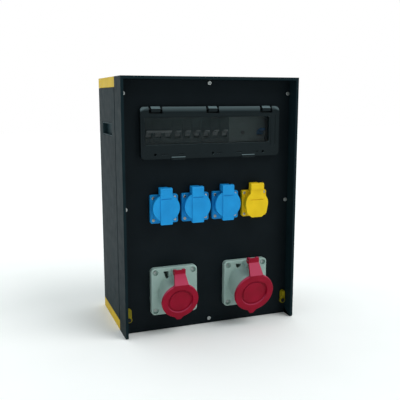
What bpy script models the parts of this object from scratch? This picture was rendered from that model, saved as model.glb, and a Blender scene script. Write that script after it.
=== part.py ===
"""Portable power distribution box, built as an assembly of separate named pieces.

Lengths below are millimetres and are turned into metres when a piece is made. X is the width, Z is up.
Depths are measured back from the hood's front edge, and FRONT_EDGE places that edge on the Y axis.
"""

import math

import bmesh
import bpy
from mathutils import Matrix
from mathutils import Vector

MM = 0.001
GAP = 0.3
FRONT_EDGE = -96.0

# The box
HEIGHT = 450.0
HALF_WIDTH = 163.0
DEPTH = 192.0
HOOD_WALL = 4.8
HOOD_DEPTH = 48.0
CAP_HEIGHT = 17.5
SHELL_WALL = 3.8
CORNER_RADIUS = 6.0
FOOT_RADIUS = 3.0
GRIP_FRONT = 72.0
GRIP_BACK = 158.0
GRIP_LOW = 347.0
GRIP_HIGH = 371.0
GRIP_DEEP = 11.0
GRIP_WALL = 2.2
INNER_HALF = HALF_WIDTH - HOOD_WALL
INNER_TOP = HEIGHT - HOOD_WALL

# The front panel and what it is screwed to
PANEL_FRONT = 25.0
PANEL_BACK = 28.0
WEB_FRONT = PANEL_BACK + GAP
WEB_BACK = 33.0
WEB_OPEN_HALF = 141.0
WEB_OPEN_LOW = 20.0
WEB_OPEN_HIGH = 431.0
SCREWS = {
    "panel_screw_top": (0.0, 440.0),
    "panel_screw_upper_left": (-154.0, 422.0),
    "panel_screw_upper_right": (154.0, 422.0),
    "panel_screw_middle_left": (-154.0, 225.0),
    "panel_screw_middle_right": (154.0, 225.0),
    "panel_screw_bottom": (0.0, 9.5),
}
SCREW_SHANK = 2.0
SCREW_HOLE = 2.4
SCREW_HEAD = 3.6
SCREW_HEAD_HEIGHT = 2.0
SCREW_END = 38.0
SCREW_SOCKET = 1.7

# The turn latches in the bottom corners
LATCH_X = 152.2
LATCH_Z = 27.0
LATCH_FRONT = 20.4
LATCH_ROUND = 5.6
LATCH_TOP = 47.6
LATCH_HALF = 4.7
LATCH_WING_FRONT = 17.6

# The window over the breakers
COVER_X = 2.6
COVER_HALF = 129.7
COVER_LEFT = COVER_X - COVER_HALF
COVER_RIGHT = COVER_X + COVER_HALF
COVER_LOW = 311.0
COVER_HIGH = 399.5
COVER_FRONT = 14.0
COVER_BACK = 21.6
COVER_WALL = 2.4
COVER_RADIUS = 7.0
PANE_LEFT = -120.0
PANE_RIGHT = 112.0
PANE_LOW = 335.5
PANE_HIGH = 381.5
PANE_THICK = 1.6
PANE_LAP = 2.0
BASE_FRONT = 22.0
BASE_HALF = 128.4
BASE_LOW = 312.5
BASE_HIGH = 386.0
TUNNEL_HALF = 119.4
TUNNEL_LOW = 334.0
TUNNEL_HIGH = 382.0
TUNNEL_WALL = 1.8
TUNNEL_BACK = 45.5
WINDOW_HINGE_Y = 18.0
WINDOW_HINGE_Z = 396.0
KNUCKLE_X = (-100.3, 3.0, 106.3)
KNUCKLE_HALF = 8.0
KNUCKLE_CLEAR = 12.0
KNUCKLE_LOW = 388.0
WINDOW_PIN = 1.2
WINDOW_PIN_HALF = 126.0

# The breakers on their rail
MODULE = 17.8
MODULES = 13
ROW_LEFT = -0.5 * MODULE * MODULES
ROW_Z = 358.0
NOSE_HALF = 22.3
NOSE_FRONT = 40.0
SHOULDER = 47.0
BREAKER_HALF = 42.5
BREAKER_BACK = 97.0
RAIL_FRONT = 91.0
RAIL_BACK = 94.0
RAIL_HALF_HEIGHT = 17.5
RAIL_HALF_LENGTH = 130.0
RAIL_ARM = 3.0
TOGGLE_PIVOT_Y = 45.0
TOGGLE_PIVOT_Z = 351.0
TOGGLE_HUB = 4.0
TOGGLE_REACH = 14.0
TOGGLE_THICK = 3.6
TOGGLE_LEAN = math.radians(26.0)
RCD_TOGGLE_REACH = 17.0

# The four domestic sockets
SOCKET_X = (-86.4, -28.8, 28.8, 86.4)
SOCKET_Z = 223.8
FLANGE_HALF = 25.0
YELLOW_FLANGE_HALF = 24.0
FLANGE_FRONT = 18.0
FLANGE_RADIUS = 3.0
COLLAR_RADIUS = 21.5
COLLAR_FRONT = 8.0
WELL_RADIUS = 18.5
WELL_FLOOR = 38.0
HOUSING_RADIUS = 20.2
HOUSING_BACK = 46.0
SOCKET_HOLE = 21.8
PIN_HOLE = 2.6
PIN_HOLE_SPACING = 9.5
PIN_HOLE_END = 43.0
LID_BACK = 7.5
LID_RADIUS = 24.4
LID_FRONT = 3.3
LID_CENTRE_Z = 227.0
BAND_HALF = 10.7
BAND_FRONT = 2.2
BAND_LOW = 198.2
BAND_HIGH = 262.0
BLOCK_BACK = 14.0
BLOCK_LOW = 250.0
LID_HINGE_Y = 9.5
LID_HINGE_Z = 256.0
TONGUE_HALF = 5.0
TONGUE_HALF_HEIGHT = 2.8
TONGUE_PLATE_FRONT = 19.3
TONGUE_PLATE_HALF = 8.0
LID_PIN = 1.4
LID_PIN_HALF = 9.2
YELLOW_FRONT = 5.0
YELLOW_BACK = 9.2
YELLOW_RADIUS = 22.2
YELLOW_Z = 224.5
YELLOW_BLOCK_HALF = 12.6
YELLOW_COLLAR_FRONT = 9.8

# The two industrial sockets
CEE_X = 69.5
CEE_Z = 75.0
CEE_HALF = 42.9
CEE_FRONT = 14.5
CEE_RADIUS = 7.0
CEE_TILT = math.radians(15.0)
CEE_HOUSING_BACK = 72.0
CEE_LID_THICK = 5.0
CEE_RIM_LENGTH = 6.0
CEE_BORE_DEPTH = 46.0
CEE_CARRIER_LENGTH = 34.0
CEE_WALL = 3.0
CEE_PIN = 1.5
CEE_TONGUE_HALF = 5.6
CEE_ARM_HALF = 9.9

# Lid face centre, lid and dish radii, collar and housing radii and the hinge's place for each size.
CEE_SMALL = {
    "face": (-19.0, 65.0),
    "lid": 33.2,
    "dish": 23.4,
    "collar": 30.5,
    "housing": 33.0,
    "hinge": (-12.5, 116.3),
    "knuckle": 5.4,
    "carrier": 21.0,
    "tab": 37.6,
}
CEE_LARGE = {
    "face": (-25.0, 65.5),
    "lid": 37.4,
    "dish": 25.6,
    "collar": 34.5,
    "housing": 36.5,
    "hinge": (-15.5, 124.7),
    "knuckle": 5.8,
    "carrier": 24.5,
    "tab": 43.2,
}
CEE_FORWARD = Vector((0.0, -math.cos(CEE_TILT), -math.sin(CEE_TILT)))
CEE_UP = Vector((0.0, -math.sin(CEE_TILT), math.cos(CEE_TILT)))
WIDE = Vector((1.0, 0.0, 0.0))

COLOURS = {
    "black_panel": (0.022, 0.029, 0.033, 0.45),
    "grey_green": (0.050, 0.070, 0.072, 0.5),
    "cap_yellow": (0.62, 0.46, 0.05, 0.45),
    "blue": (0.05, 0.33, 0.66, 0.4),
    "socket_yellow": (0.78, 0.58, 0.02, 0.4),
    "red": (0.55, 0.03, 0.09, 0.35),
    "pale_grey": (0.42, 0.50, 0.47, 0.5),
    "module_grey": (0.50, 0.52, 0.52, 0.45),
    "dark_grey": (0.06, 0.07, 0.075, 0.45),
    "smoke": (0.12, 0.14, 0.15, 0.15),
    "steel": (0.62, 0.62, 0.60, 0.3),
    "brass": (0.72, 0.53, 0.22, 0.3),
    "black": (0.02, 0.02, 0.02, 0.4),
}


def clear_scene():
    for thing in list(bpy.data.objects):
        bpy.data.objects.remove(thing, do_unlink=True)


def collection(name):
    made = bpy.data.collections.new(name)
    bpy.context.scene.collection.children.link(made)
    return made


def material(name):
    found = bpy.data.materials.get(name)
    if found:
        return found
    red, green, blue, rough = COLOURS[name]
    made = bpy.data.materials.new(name)
    made.use_nodes = True
    shader = made.node_tree.nodes["Principled BSDF"]
    shader.inputs["Base Color"].default_value = (red, green, blue, 1.0)
    shader.inputs["Roughness"].default_value = rough
    return made


def place(x, depth, z):
    """A point given as width, depth behind the hood's edge and height, in metres."""
    return Vector((x, depth + FRONT_EDGE, z)) * MM


def from_bmesh(name, shape):
    mesh = bpy.data.meshes.new(name)
    bmesh.ops.recalc_face_normals(shape, faces=shape.faces)
    shape.to_mesh(mesh)
    shape.free()
    made = bpy.data.objects.new(name, mesh)
    TOOLS.objects.link(made)
    made.hide_render = True
    made.display_type = "WIRE"
    return made


def block(name, xs, ys, zs, round_axis=None, radius=0.0, steps=3, keep=None):
    """A box between two widths, two depths and two heights; the edges along one axis may be rounded."""
    low = place(xs[0], ys[0], zs[0])
    high = place(xs[1], ys[1], zs[1])
    size = high - low
    shape = bmesh.new()
    turn = Matrix.Translation((low + high) / 2) @ Matrix.Diagonal((*size, 1.0))
    bmesh.ops.create_cube(shape, size=1.0, matrix=turn)
    if round_axis is not None:
        edges = []
        for edge in shape.edges:
            run = edge.verts[0].co - edge.verts[1].co
            middle = (edge.verts[0].co + edge.verts[1].co) / 2 - (low + high) / 2
            along = abs(run[round_axis]) > 0.5 * size[round_axis]
            if along and (keep is None or keep(middle)):
                edges.append(edge)
        bmesh.ops.bevel(shape, geom=edges, offset=radius * MM, segments=steps, affect="EDGES", profile=0.5)
    return from_bmesh(name, shape)


def rod(name, centre, axis, radius, length, sides=32):
    """A cylinder about a point, centred on it and running along an axis."""
    shape = bmesh.new()
    turn = Vector((0, 0, 1)).rotation_difference(Vector(axis).normalized()).to_matrix().to_4x4()
    bmesh.ops.create_cone(
        shape,
        cap_ends=True,
        segments=sides,
        radius1=radius * MM,
        radius2=radius * MM,
        depth=length * MM,
        matrix=Matrix.Translation(centre) @ turn,
    )
    return from_bmesh(name, shape)


def wedge(name, corners):
    """The solid that wraps a set of corner points."""
    shape = bmesh.new()
    for corner in corners:
        shape.verts.new(corner)
    found = bmesh.ops.convex_hull(shape, input=shape.verts)
    loose = [item for item in found["geom_interior"] if isinstance(item, bmesh.types.BMVert)]
    bmesh.ops.delete(shape, geom=loose, context="VERTS")
    bmesh.ops.dissolve_limit(shape, angle_limit=0.01, verts=shape.verts, edges=shape.edges)
    return from_bmesh(name, shape)


def turned(name, origin, axis, profile, sides=32):
    """A solid of revolution: radius and distance pairs, outer side running from the front to the back."""
    mesh = bpy.data.meshes.new(name)
    points = [(radius * MM, 0.0, along * MM) for radius, along in profile]
    mesh.from_pydata(points, [(i, i + 1) for i in range(len(points) - 1)], [])
    made = bpy.data.objects.new(name, mesh)
    TOOLS.objects.link(made)
    made.hide_render = True
    made.display_type = "WIRE"
    turn = Vector((0, 0, 1)).rotation_difference(Vector(axis).normalized()).to_matrix().to_4x4()
    made.matrix_world = Matrix.Translation(origin) @ turn
    screw = made.modifiers.new("Turn", "SCREW")
    screw.axis = "Z"
    screw.steps = sides
    screw.render_steps = sides
    screw.use_merge_vertices = True
    screw.merge_threshold = 0.00001
    return made


def outline(name, points, ys):
    """A flat outline in width and height, drawn as a filled curve and given depth."""
    curve = bpy.data.curves.new(name, "CURVE")
    curve.dimensions = "2D"
    curve.fill_mode = "BOTH"
    curve.extrude = (ys[1] - ys[0]) / 2 * MM
    spline = curve.splines.new("POLY")
    spline.points.add(len(points) - 1)
    for target, (x, z) in zip(spline.points, points):
        target.co = (x * MM, z * MM, 0.0, 1.0)
    spline.use_cyclic_u = True
    drawn = bpy.data.objects.new(name + "_drawn", curve)
    TOOLS.objects.link(drawn)
    bpy.context.view_layer.update()
    mesh = bpy.data.meshes.new_from_object(drawn)
    shape = bmesh.new()
    shape.from_mesh(mesh)
    bmesh.ops.remove_doubles(shape, verts=shape.verts, dist=0.000001)
    stand = Matrix.Rotation(math.radians(90.0), 4, "X")
    middle = place(0.0, (ys[0] + ys[1]) / 2, 0.0)
    bmesh.ops.transform(shape, matrix=Matrix.Translation(middle) @ stand, verts=shape.verts)
    bpy.data.objects.remove(drawn, do_unlink=True)
    bpy.data.meshes.remove(mesh)
    return from_bmesh(name, shape)


def combine(target, tool, operation):
    change = target.modifiers.new(tool.name, "BOOLEAN")
    change.operation = operation
    change.solver = "EXACT"
    change.object = tool
    return target


def fuse(target, *tools):
    for tool in tools:
        combine(target, tool, "UNION")
    return target


def carve(target, *tools):
    for tool in tools:
        combine(target, tool, "DIFFERENCE")
    return target


def finish(made, colour, pivot=None):
    """Moves a piece from the tools into the box, gives it its material and its turning point."""
    TOOLS.objects.unlink(made)
    BOX.objects.link(made)
    made.hide_render = False
    made.display_type = "TEXTURED"
    made.data.materials.append(material(colour))
    if pivot is not None:
        made.data.transform(Matrix.Translation(-pivot))
        made.location = pivot
    return made


def build_hood():
    hood = block(
        "front_hood",
        (-HALF_WIDTH, HALF_WIDTH),
        (0.0, HOOD_DEPTH),
        (0.0, HEIGHT),
        round_axis=0,
        radius=FOOT_RADIUS,
        keep=lambda middle: middle.z < 0 and middle.y < 0,
    )
    inside = block("hood_inside", (-INNER_HALF, INNER_HALF), (-5.0, HOOD_DEPTH + 5.0), (-5.0, INNER_TOP))
    web = block("hood_web", (-INNER_HALF - 2.0, INNER_HALF + 2.0), (WEB_FRONT, WEB_BACK), (0.5, INNER_TOP + 2.0))
    window = block("web_window", (-WEB_OPEN_HALF, WEB_OPEN_HALF), (20.0, 60.0), (WEB_OPEN_LOW, WEB_OPEN_HIGH))
    sill = block("hood_sill", (-INNER_HALF - 2.0, INNER_HALF + 2.0), (WEB_FRONT, HOOD_DEPTH), (0.5, WEB_OPEN_LOW - 2.0))
    carve(hood, inside)
    fuse(hood, web)
    carve(hood, window)
    fuse(hood, sill)
    for name, (x, z) in SCREWS.items():
        carve(hood, rod(name + "_web_hole", place(x, 34.0, z), (0, 1, 0), SCREW_HOLE, 16.0, 12))
    for side in (-1, 1):
        hole = rod("latch_web_hole", place(side * LATCH_X, 34.0, LATCH_Z), (0, 1, 0), SCREW_HOLE, 16.0, 12)
        carve(hood, hole)
    finish(hood, "grey_green")


def build_shell():
    low = CAP_HEIGHT + GAP
    high = HEIGHT - CAP_HEIGHT - GAP
    front = HOOD_DEPTH + GAP
    shell = block(
        "rear_shell",
        (-HALF_WIDTH, HALF_WIDTH),
        (front, DEPTH),
        (low, high),
        round_axis=2,
        radius=CORNER_RADIUS,
        keep=lambda middle: middle.y > 0,
    )
    inside = block(
        "shell_inside",
        (-HALF_WIDTH + SHELL_WALL, HALF_WIDTH - SHELL_WALL),
        (front - 5.0, DEPTH - SHELL_WALL),
        (low - 5.0, high + 5.0),
    )
    carve(shell, inside)
    for side in (-1, 1):
        xs = sorted((side * (HALF_WIDTH - 8.0), side * (HALF_WIDTH + 5.0)))
        carve(shell, block("grip_opening", xs, (GRIP_FRONT, GRIP_BACK), (GRIP_LOW, GRIP_HIGH)))
    finish(shell, "grey_green")


def build_grip(side, name):
    def span(a, b):
        return sorted((side * (HALF_WIDTH - a), side * (HALF_WIDTH - b)))

    edge = GAP
    cup = block(
        name,
        span(0.2, GRIP_DEEP),
        (GRIP_FRONT + edge, GRIP_BACK - edge),
        (GRIP_LOW + edge, GRIP_HIGH - edge),
    )
    flange = block(
        name + "_flange",
        span(SHELL_WALL + GAP, SHELL_WALL + GAP + 2.0),
        (GRIP_FRONT - 4.0, GRIP_BACK + 4.0),
        (GRIP_LOW - 4.0, GRIP_HIGH + 4.0),
    )
    hollow = block(
        name + "_hollow",
        span(-5.0, GRIP_DEEP - GRIP_WALL),
        (GRIP_FRONT + edge + GRIP_WALL, GRIP_BACK - edge - GRIP_WALL),
        (GRIP_LOW + edge + GRIP_WALL, GRIP_HIGH - edge - GRIP_WALL),
    )
    fuse(cup, flange)
    carve(cup, hollow)
    finish(cup, "grey_green")


def build_cap(name, low, high, inward):
    """An end cap: a shallow tray closing the shell, with a lip standing inside the shell's walls."""
    front = HOOD_DEPTH + GAP
    cap = block(
        name,
        (-HALF_WIDTH, HALF_WIDTH),
        (front, DEPTH),
        (low, high),
        round_axis=2,
        radius=CORNER_RADIUS,
        keep=lambda middle: middle.y > 0,
    )
    lip_out = SHELL_WALL + GAP
    lip = (high, high + 7.0) if inward > 0 else (low - 7.0, low)
    lip_span = (lip[0] - 2.0, lip[1]) if inward > 0 else (lip[0], lip[1] + 2.0)
    skirt = block(
        name + "_skirt",
        (-HALF_WIDTH + lip_out, HALF_WIDTH - lip_out),
        (front, DEPTH - lip_out),
        lip_span,
    )
    wall = lip_out + 2.2
    hollow_z = (low + SHELL_WALL, high + 20.0) if inward > 0 else (low - 20.0, high - SHELL_WALL)
    hollow = block(
        name + "_hollow",
        (-HALF_WIDTH + wall, HALF_WIDTH - wall),
        (front + 2.2, DEPTH - wall),
        hollow_z,
    )
    fuse(cap, skirt)
    carve(cap, hollow)
    finish(cap, "cap_yellow")


def build_panel():
    panel = block(
        "front_panel",
        (-INNER_HALF + GAP, INNER_HALF - GAP),
        (PANEL_FRONT, PANEL_BACK),
        (0.5, INNER_TOP - GAP),
    )
    reach = TUNNEL_WALL + GAP
    window = block(
        "panel_window",
        (-TUNNEL_HALF - reach, TUNNEL_HALF + reach),
        (20.0, 33.0),
        (TUNNEL_LOW - reach, TUNNEL_HIGH + reach),
    )
    carve(panel, window)
    for x in SOCKET_X:
        carve(panel, rod("socket_hole", place(x, 26.5, SOCKET_Z), (0, 1, 0), SOCKET_HOLE, 10.0, 32))
    for side, size in ((-1, CEE_SMALL), (1, CEE_LARGE)):
        hole = rod("cee_hole", place(side * CEE_X, 26.5, CEE_Z), (0, 1, 0), size["housing"] + 0.5, 10.0, 40)
        carve(panel, hole)
    for name, (x, z) in SCREWS.items():
        carve(panel, rod(name + "_hole", place(x, 26.5, z), (0, 1, 0), SCREW_HOLE, 10.0, 12))
    for side in (-1, 1):
        carve(panel, rod("latch_hole", place(side * LATCH_X, 26.5, LATCH_Z), (0, 1, 0), SCREW_HOLE, 10.0, 12))
    finish(panel, "black_panel")


def build_screw(name, x, z, face, colour="steel"):
    """A cap screw: its head stands on a face and its shank runs back through the panel."""
    head = rod(name, place(x, face - SCREW_HEAD_HEIGHT / 2, z), (0, 1, 0), SCREW_HEAD, SCREW_HEAD_HEIGHT, 20)
    length = SCREW_END - face + 1.0
    shank = rod(name + "_shank", place(x, face - 1.0 + length / 2, z), (0, 1, 0), SCREW_SHANK, length, 12)
    recess = rod(name + "_recess", place(x, face - SCREW_HEAD_HEIGHT, z), (0, 1, 0), SCREW_SOCKET, 2.4, 6)
    fuse(head, shank)
    carve(head, recess)
    finish(head, colour)


def build_latch(side, name):
    """A turn latch: a round foot about its screw and a raised finger wing above it."""
    back = PANEL_FRONT - GAP
    points = []
    for step in range(17):
        angle = math.pi + math.pi * step / 16
        points.append((side * LATCH_X + LATCH_ROUND * math.cos(angle), LATCH_Z + LATCH_ROUND * math.sin(angle)))
    for step in range(9):
        angle = math.pi * step / 8
        x = side * LATCH_X + LATCH_HALF * math.cos(angle)
        points.append((x, LATCH_TOP - LATCH_HALF + LATCH_HALF * math.sin(angle)))
    latch = outline(name, points, (LATCH_FRONT, back))
    wing = block(
        name + "_wing",
        (side * LATCH_X - LATCH_HALF + 1.6, side * LATCH_X + LATCH_HALF - 1.6),
        (LATCH_WING_FRONT, LATCH_FRONT + 1.0),
        (LATCH_Z + 7.5, LATCH_TOP - 1.8),
        round_axis=1,
        radius=2.2,
    )
    hole = rod(name + "_hole", place(side * LATCH_X, 22.0, LATCH_Z), (0, 1, 0), SCREW_HOLE, 20.0, 12)
    fuse(latch, wing)
    carve(latch, hole)
    finish(latch, "socket_yellow", place(side * LATCH_X, (LATCH_FRONT + back) / 2, LATCH_Z))


def build_window_frame():
    """The fixed half of the window: a ring on the panel, a tunnel back to the breakers and three knuckles."""
    frame = block(
        "window_frame",
        (COVER_X - BASE_HALF, COVER_X + BASE_HALF),
        (BASE_FRONT, PANEL_FRONT - GAP),
        (BASE_LOW, BASE_HIGH),
        round_axis=1,
        radius=5.0,
    )
    tunnel = block(
        "window_tunnel",
        (-TUNNEL_HALF - TUNNEL_WALL, TUNNEL_HALF + TUNNEL_WALL),
        (BASE_FRONT, TUNNEL_BACK),
        (TUNNEL_LOW - TUNNEL_WALL, TUNNEL_HIGH + TUNNEL_WALL),
    )
    mouth = block(
        "window_mouth",
        (-TUNNEL_HALF, TUNNEL_HALF),
        (BASE_FRONT - 5.0, TUNNEL_BACK + 5.0),
        (TUNNEL_LOW, TUNNEL_HIGH),
    )
    fuse(frame, tunnel)
    for x in KNUCKLE_X:
        plate = block(
            "knuckle_plate",
            (x - KNUCKLE_HALF, x + KNUCKLE_HALF),
            (BASE_FRONT, PANEL_FRONT - GAP),
            (BASE_HIGH - 2.0, 400.0),
        )
        post = block(
            "knuckle_post",
            (x - KNUCKLE_HALF, x + KNUCKLE_HALF),
            (13.0, PANEL_FRONT - GAP - 0.6),
            (391.0, 400.0),
            round_axis=0,
            radius=3.0,
            keep=lambda middle: middle.y < 0,
        )
        fuse(frame, plate, post)
    carve(frame, mouth)
    pin_hole = rod(
        "knuckle_bore",
        place(COVER_X, WINDOW_HINGE_Y, WINDOW_HINGE_Z),
        (1, 0, 0),
        WINDOW_PIN + GAP,
        2 * WINDOW_PIN_HALF + 10.0,
        16,
    )
    carve(frame, pin_hole)
    finish(frame, "dark_grey")


def build_window_cover():
    """The hinged half: a shallow tray with a sloped top edge, cut away round the knuckles."""
    cover = block(
        "window_cover",
        (COVER_LEFT, COVER_RIGHT),
        (COVER_FRONT, COVER_BACK),
        (COVER_LOW, COVER_HIGH),
        round_axis=1,
        radius=COVER_RADIUS,
        steps=4,
    )
    slope = wedge(
        "cover_slope",
        [
            place(x, y, z)
            for x in (COVER_LEFT - 5.0, COVER_RIGHT + 5.0)
            for y, z in ((COVER_FRONT - 0.5, 388.0), (COVER_FRONT - 0.5, 405.0), (19.2, 405.0), (17.6, COVER_HIGH))
        ],
    )
    hollow = block(
        "cover_hollow",
        (COVER_LEFT + COVER_WALL, COVER_RIGHT - COVER_WALL),
        (COVER_FRONT + COVER_WALL, COVER_BACK + 5.0),
        (COVER_LOW + COVER_WALL, 390.0),
    )
    light = block(
        "cover_light",
        (PANE_LEFT, PANE_RIGHT),
        (COVER_FRONT - 5.0, COVER_BACK + 5.0),
        (PANE_LOW, PANE_HIGH),
        round_axis=1,
        radius=2.0,
    )
    carve(cover, slope, hollow, light)
    for x in KNUCKLE_X:
        room = block(
            "knuckle_room",
            (x - KNUCKLE_CLEAR, x + KNUCKLE_CLEAR),
            (COVER_FRONT - 5.0, COVER_BACK + 5.0),
            (KNUCKLE_LOW, COVER_HIGH + 5.0),
        )
        carve(cover, room)
    for x in (-61.0, 71.0):
        tab = block(
            "thumb_tab",
            (x - 12.5, x + 12.5),
            (COVER_FRONT - 1.6, COVER_BACK - 2.0),
            (COVER_LOW - 2.0, COVER_LOW + 3.4),
            round_axis=0,
            radius=1.2,
        )
        fuse(cover, tab)
    bore = rod(
        "cover_bore",
        place(COVER_X, WINDOW_HINGE_Y, WINDOW_HINGE_Z),
        (1, 0, 0),
        WINDOW_PIN + GAP,
        2 * WINDOW_PIN_HALF + 1.0,
        16,
    )
    carve(cover, bore)
    finish(cover, "dark_grey", place(0.0, WINDOW_HINGE_Y, WINDOW_HINGE_Z))


def build_window_small_parts():
    front = COVER_FRONT + COVER_WALL + GAP
    pane = block(
        "window_pane",
        (PANE_LEFT - PANE_LAP, PANE_RIGHT + PANE_LAP),
        (front, front + PANE_THICK),
        (PANE_LOW - PANE_LAP, PANE_HIGH + PANE_LAP),
    )
    finish(pane, "smoke", place(0.0, WINDOW_HINGE_Y, WINDOW_HINGE_Z))
    pin = rod(
        "window_hinge_pin",
        place(COVER_X, WINDOW_HINGE_Y, WINDOW_HINGE_Z),
        (1, 0, 0),
        WINDOW_PIN,
        2 * WINDOW_PIN_HALF,
        16,
    )
    finish(pin, "steel")


def build_rail():
    """The rail the breakers clip to, carried from the panel by an arm at each end."""
    rail = block(
        "din_rail",
        (-RAIL_HALF_LENGTH, RAIL_HALF_LENGTH),
        (RAIL_FRONT, RAIL_BACK),
        (ROW_Z - RAIL_HALF_HEIGHT, ROW_Z + RAIL_HALF_HEIGHT),
    )
    for side in (-1, 1):
        arm_x = sorted((side * (RAIL_HALF_LENGTH - RAIL_ARM), side * RAIL_HALF_LENGTH))
        arm = block("rail_arm", arm_x, (PANEL_BACK + GAP, RAIL_BACK), (ROW_Z - 14.0, ROW_Z + 14.0))
        foot_x = sorted((side * (RAIL_HALF_LENGTH - RAIL_ARM), side * (RAIL_HALF_LENGTH + 8.0)))
        foot = block("rail_foot", foot_x, (PANEL_BACK + GAP, PANEL_BACK + GAP + 2.5), (ROW_Z - 14.0, ROW_Z + 14.0))
        fuse(rail, arm, foot)
    finish(rail, "steel")


def breaker_body(name, first, count, slots, colour):
    """A breaker body, so many modules wide: a nose, two shoulders, a rail notch and the lever slots."""
    left = ROW_LEFT + first * MODULE + GAP / 2
    right = ROW_LEFT + (first + count) * MODULE - GAP / 2
    body = block(name, (left, right), (SHOULDER, BREAKER_BACK), (ROW_Z - BREAKER_HALF, ROW_Z + BREAKER_HALF))
    nose = block(name + "_nose", (left, right), (NOSE_FRONT, SHOULDER + 2.0), (ROW_Z - NOSE_HALF, ROW_Z + NOSE_HALF))
    notch = block(
        name + "_notch",
        (left - 5.0, right + 5.0),
        (RAIL_FRONT - GAP, BREAKER_BACK + 5.0),
        (ROW_Z - RAIL_HALF_HEIGHT - GAP, ROW_Z + RAIL_HALF_HEIGHT + GAP),
    )
    fuse(body, nose)
    carve(body, notch)
    for x, half in slots:
        slot = block(
            name + "_slot",
            (x - half, x + half),
            (NOSE_FRONT - 5.0, TOGGLE_PIVOT_Y + TOGGLE_HUB + 0.5),
            (TOGGLE_PIVOT_Z - 6.6, TOGGLE_PIVOT_Z + 6.6),
        )
        carve(body, slot)
    return finish(body, colour)


def lever(name, centres, half, reach, colour, bar=False):
    """A rocking lever, standing up-and-forward from its hub; linked levers share one bar."""
    pivot = place(centres[0], TOGGLE_PIVOT_Y, TOGGLE_PIVOT_Z)
    forward = Vector((0.0, -math.cos(TOGGLE_LEAN), math.sin(TOGGLE_LEAN)))
    upward = Vector((0.0, math.sin(TOGGLE_LEAN), math.cos(TOGGLE_LEAN)))
    made = None
    for x in centres:
        hub_centre = place(x, TOGGLE_PIVOT_Y, TOGGLE_PIVOT_Z)
        hub = rod(name if made is None else name + "_hub", hub_centre, (1, 0, 0), TOGGLE_HUB, 2 * half, 16)
        corners = []
        for along, thick in ((0.0, TOGGLE_THICK), (reach, TOGGLE_THICK * 0.7)):
            for sideways in (-half, half):
                for level in (-thick / 2, thick / 2):
                    point = hub_centre + (forward * along + upward * level) * MM
                    corners.append(point + Vector((sideways * 0.9 * MM, 0.0, 0.0)))
        arm = wedge(name + "_arm", corners)
        made = fuse(hub, arm) if made is None else fuse(made, hub, arm)
    if bar:
        tip = place(0.0, TOGGLE_PIVOT_Y, TOGGLE_PIVOT_Z) + forward * (reach - 1.5) * MM
        middle = (min(centres) + max(centres)) / 2 * MM
        length = max(centres) - min(centres) + 2 * half
        link = rod(name + "_link", Vector((middle, tip.y, tip.z)), (1, 0, 0), 2.2, length, 12)
        fuse(made, link)
    finish(made, colour, pivot)


def build_breakers():
    def centre(slot):
        return ROW_LEFT + (slot + 0.5) * MODULE

    main = [centre(0), centre(1), centre(2)]
    breaker_body("main_breaker", 0, 3, [(x, 5.2) for x in main], "module_grey")
    lever("main_breaker_toggle", [main[1], main[0], main[2]], 4.6, TOGGLE_REACH, "pale_grey", bar=True)
    for number in range(1, 7):
        slot = number + 2
        name = f"breaker_{number}"
        breaker_body(name, slot, 1, [(centre(slot), 5.2)], "module_grey")
        lever(name + "_toggle", [centre(slot)], 4.6, TOGGLE_REACH, "pale_grey")
    rcd = breaker_body("residual_current_breaker", 9, 4, [(centre(12), 6.8)], "module_grey")
    button_x = centre(10)
    hole = rod("button_hole", place(button_x, 42.0, 352.0), (0, 1, 0), 3.8, 12.0, 16)
    carve(rcd, hole)
    lever("residual_current_toggle", [centre(12)], 6.2, RCD_TOGGLE_REACH, "blue")
    button = rod("test_button", place(button_x, 42.0, 352.0), (0, 1, 0), 3.4, 7.0, 16)
    finish(button, "pale_grey", place(button_x, 42.0, 352.0))


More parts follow.
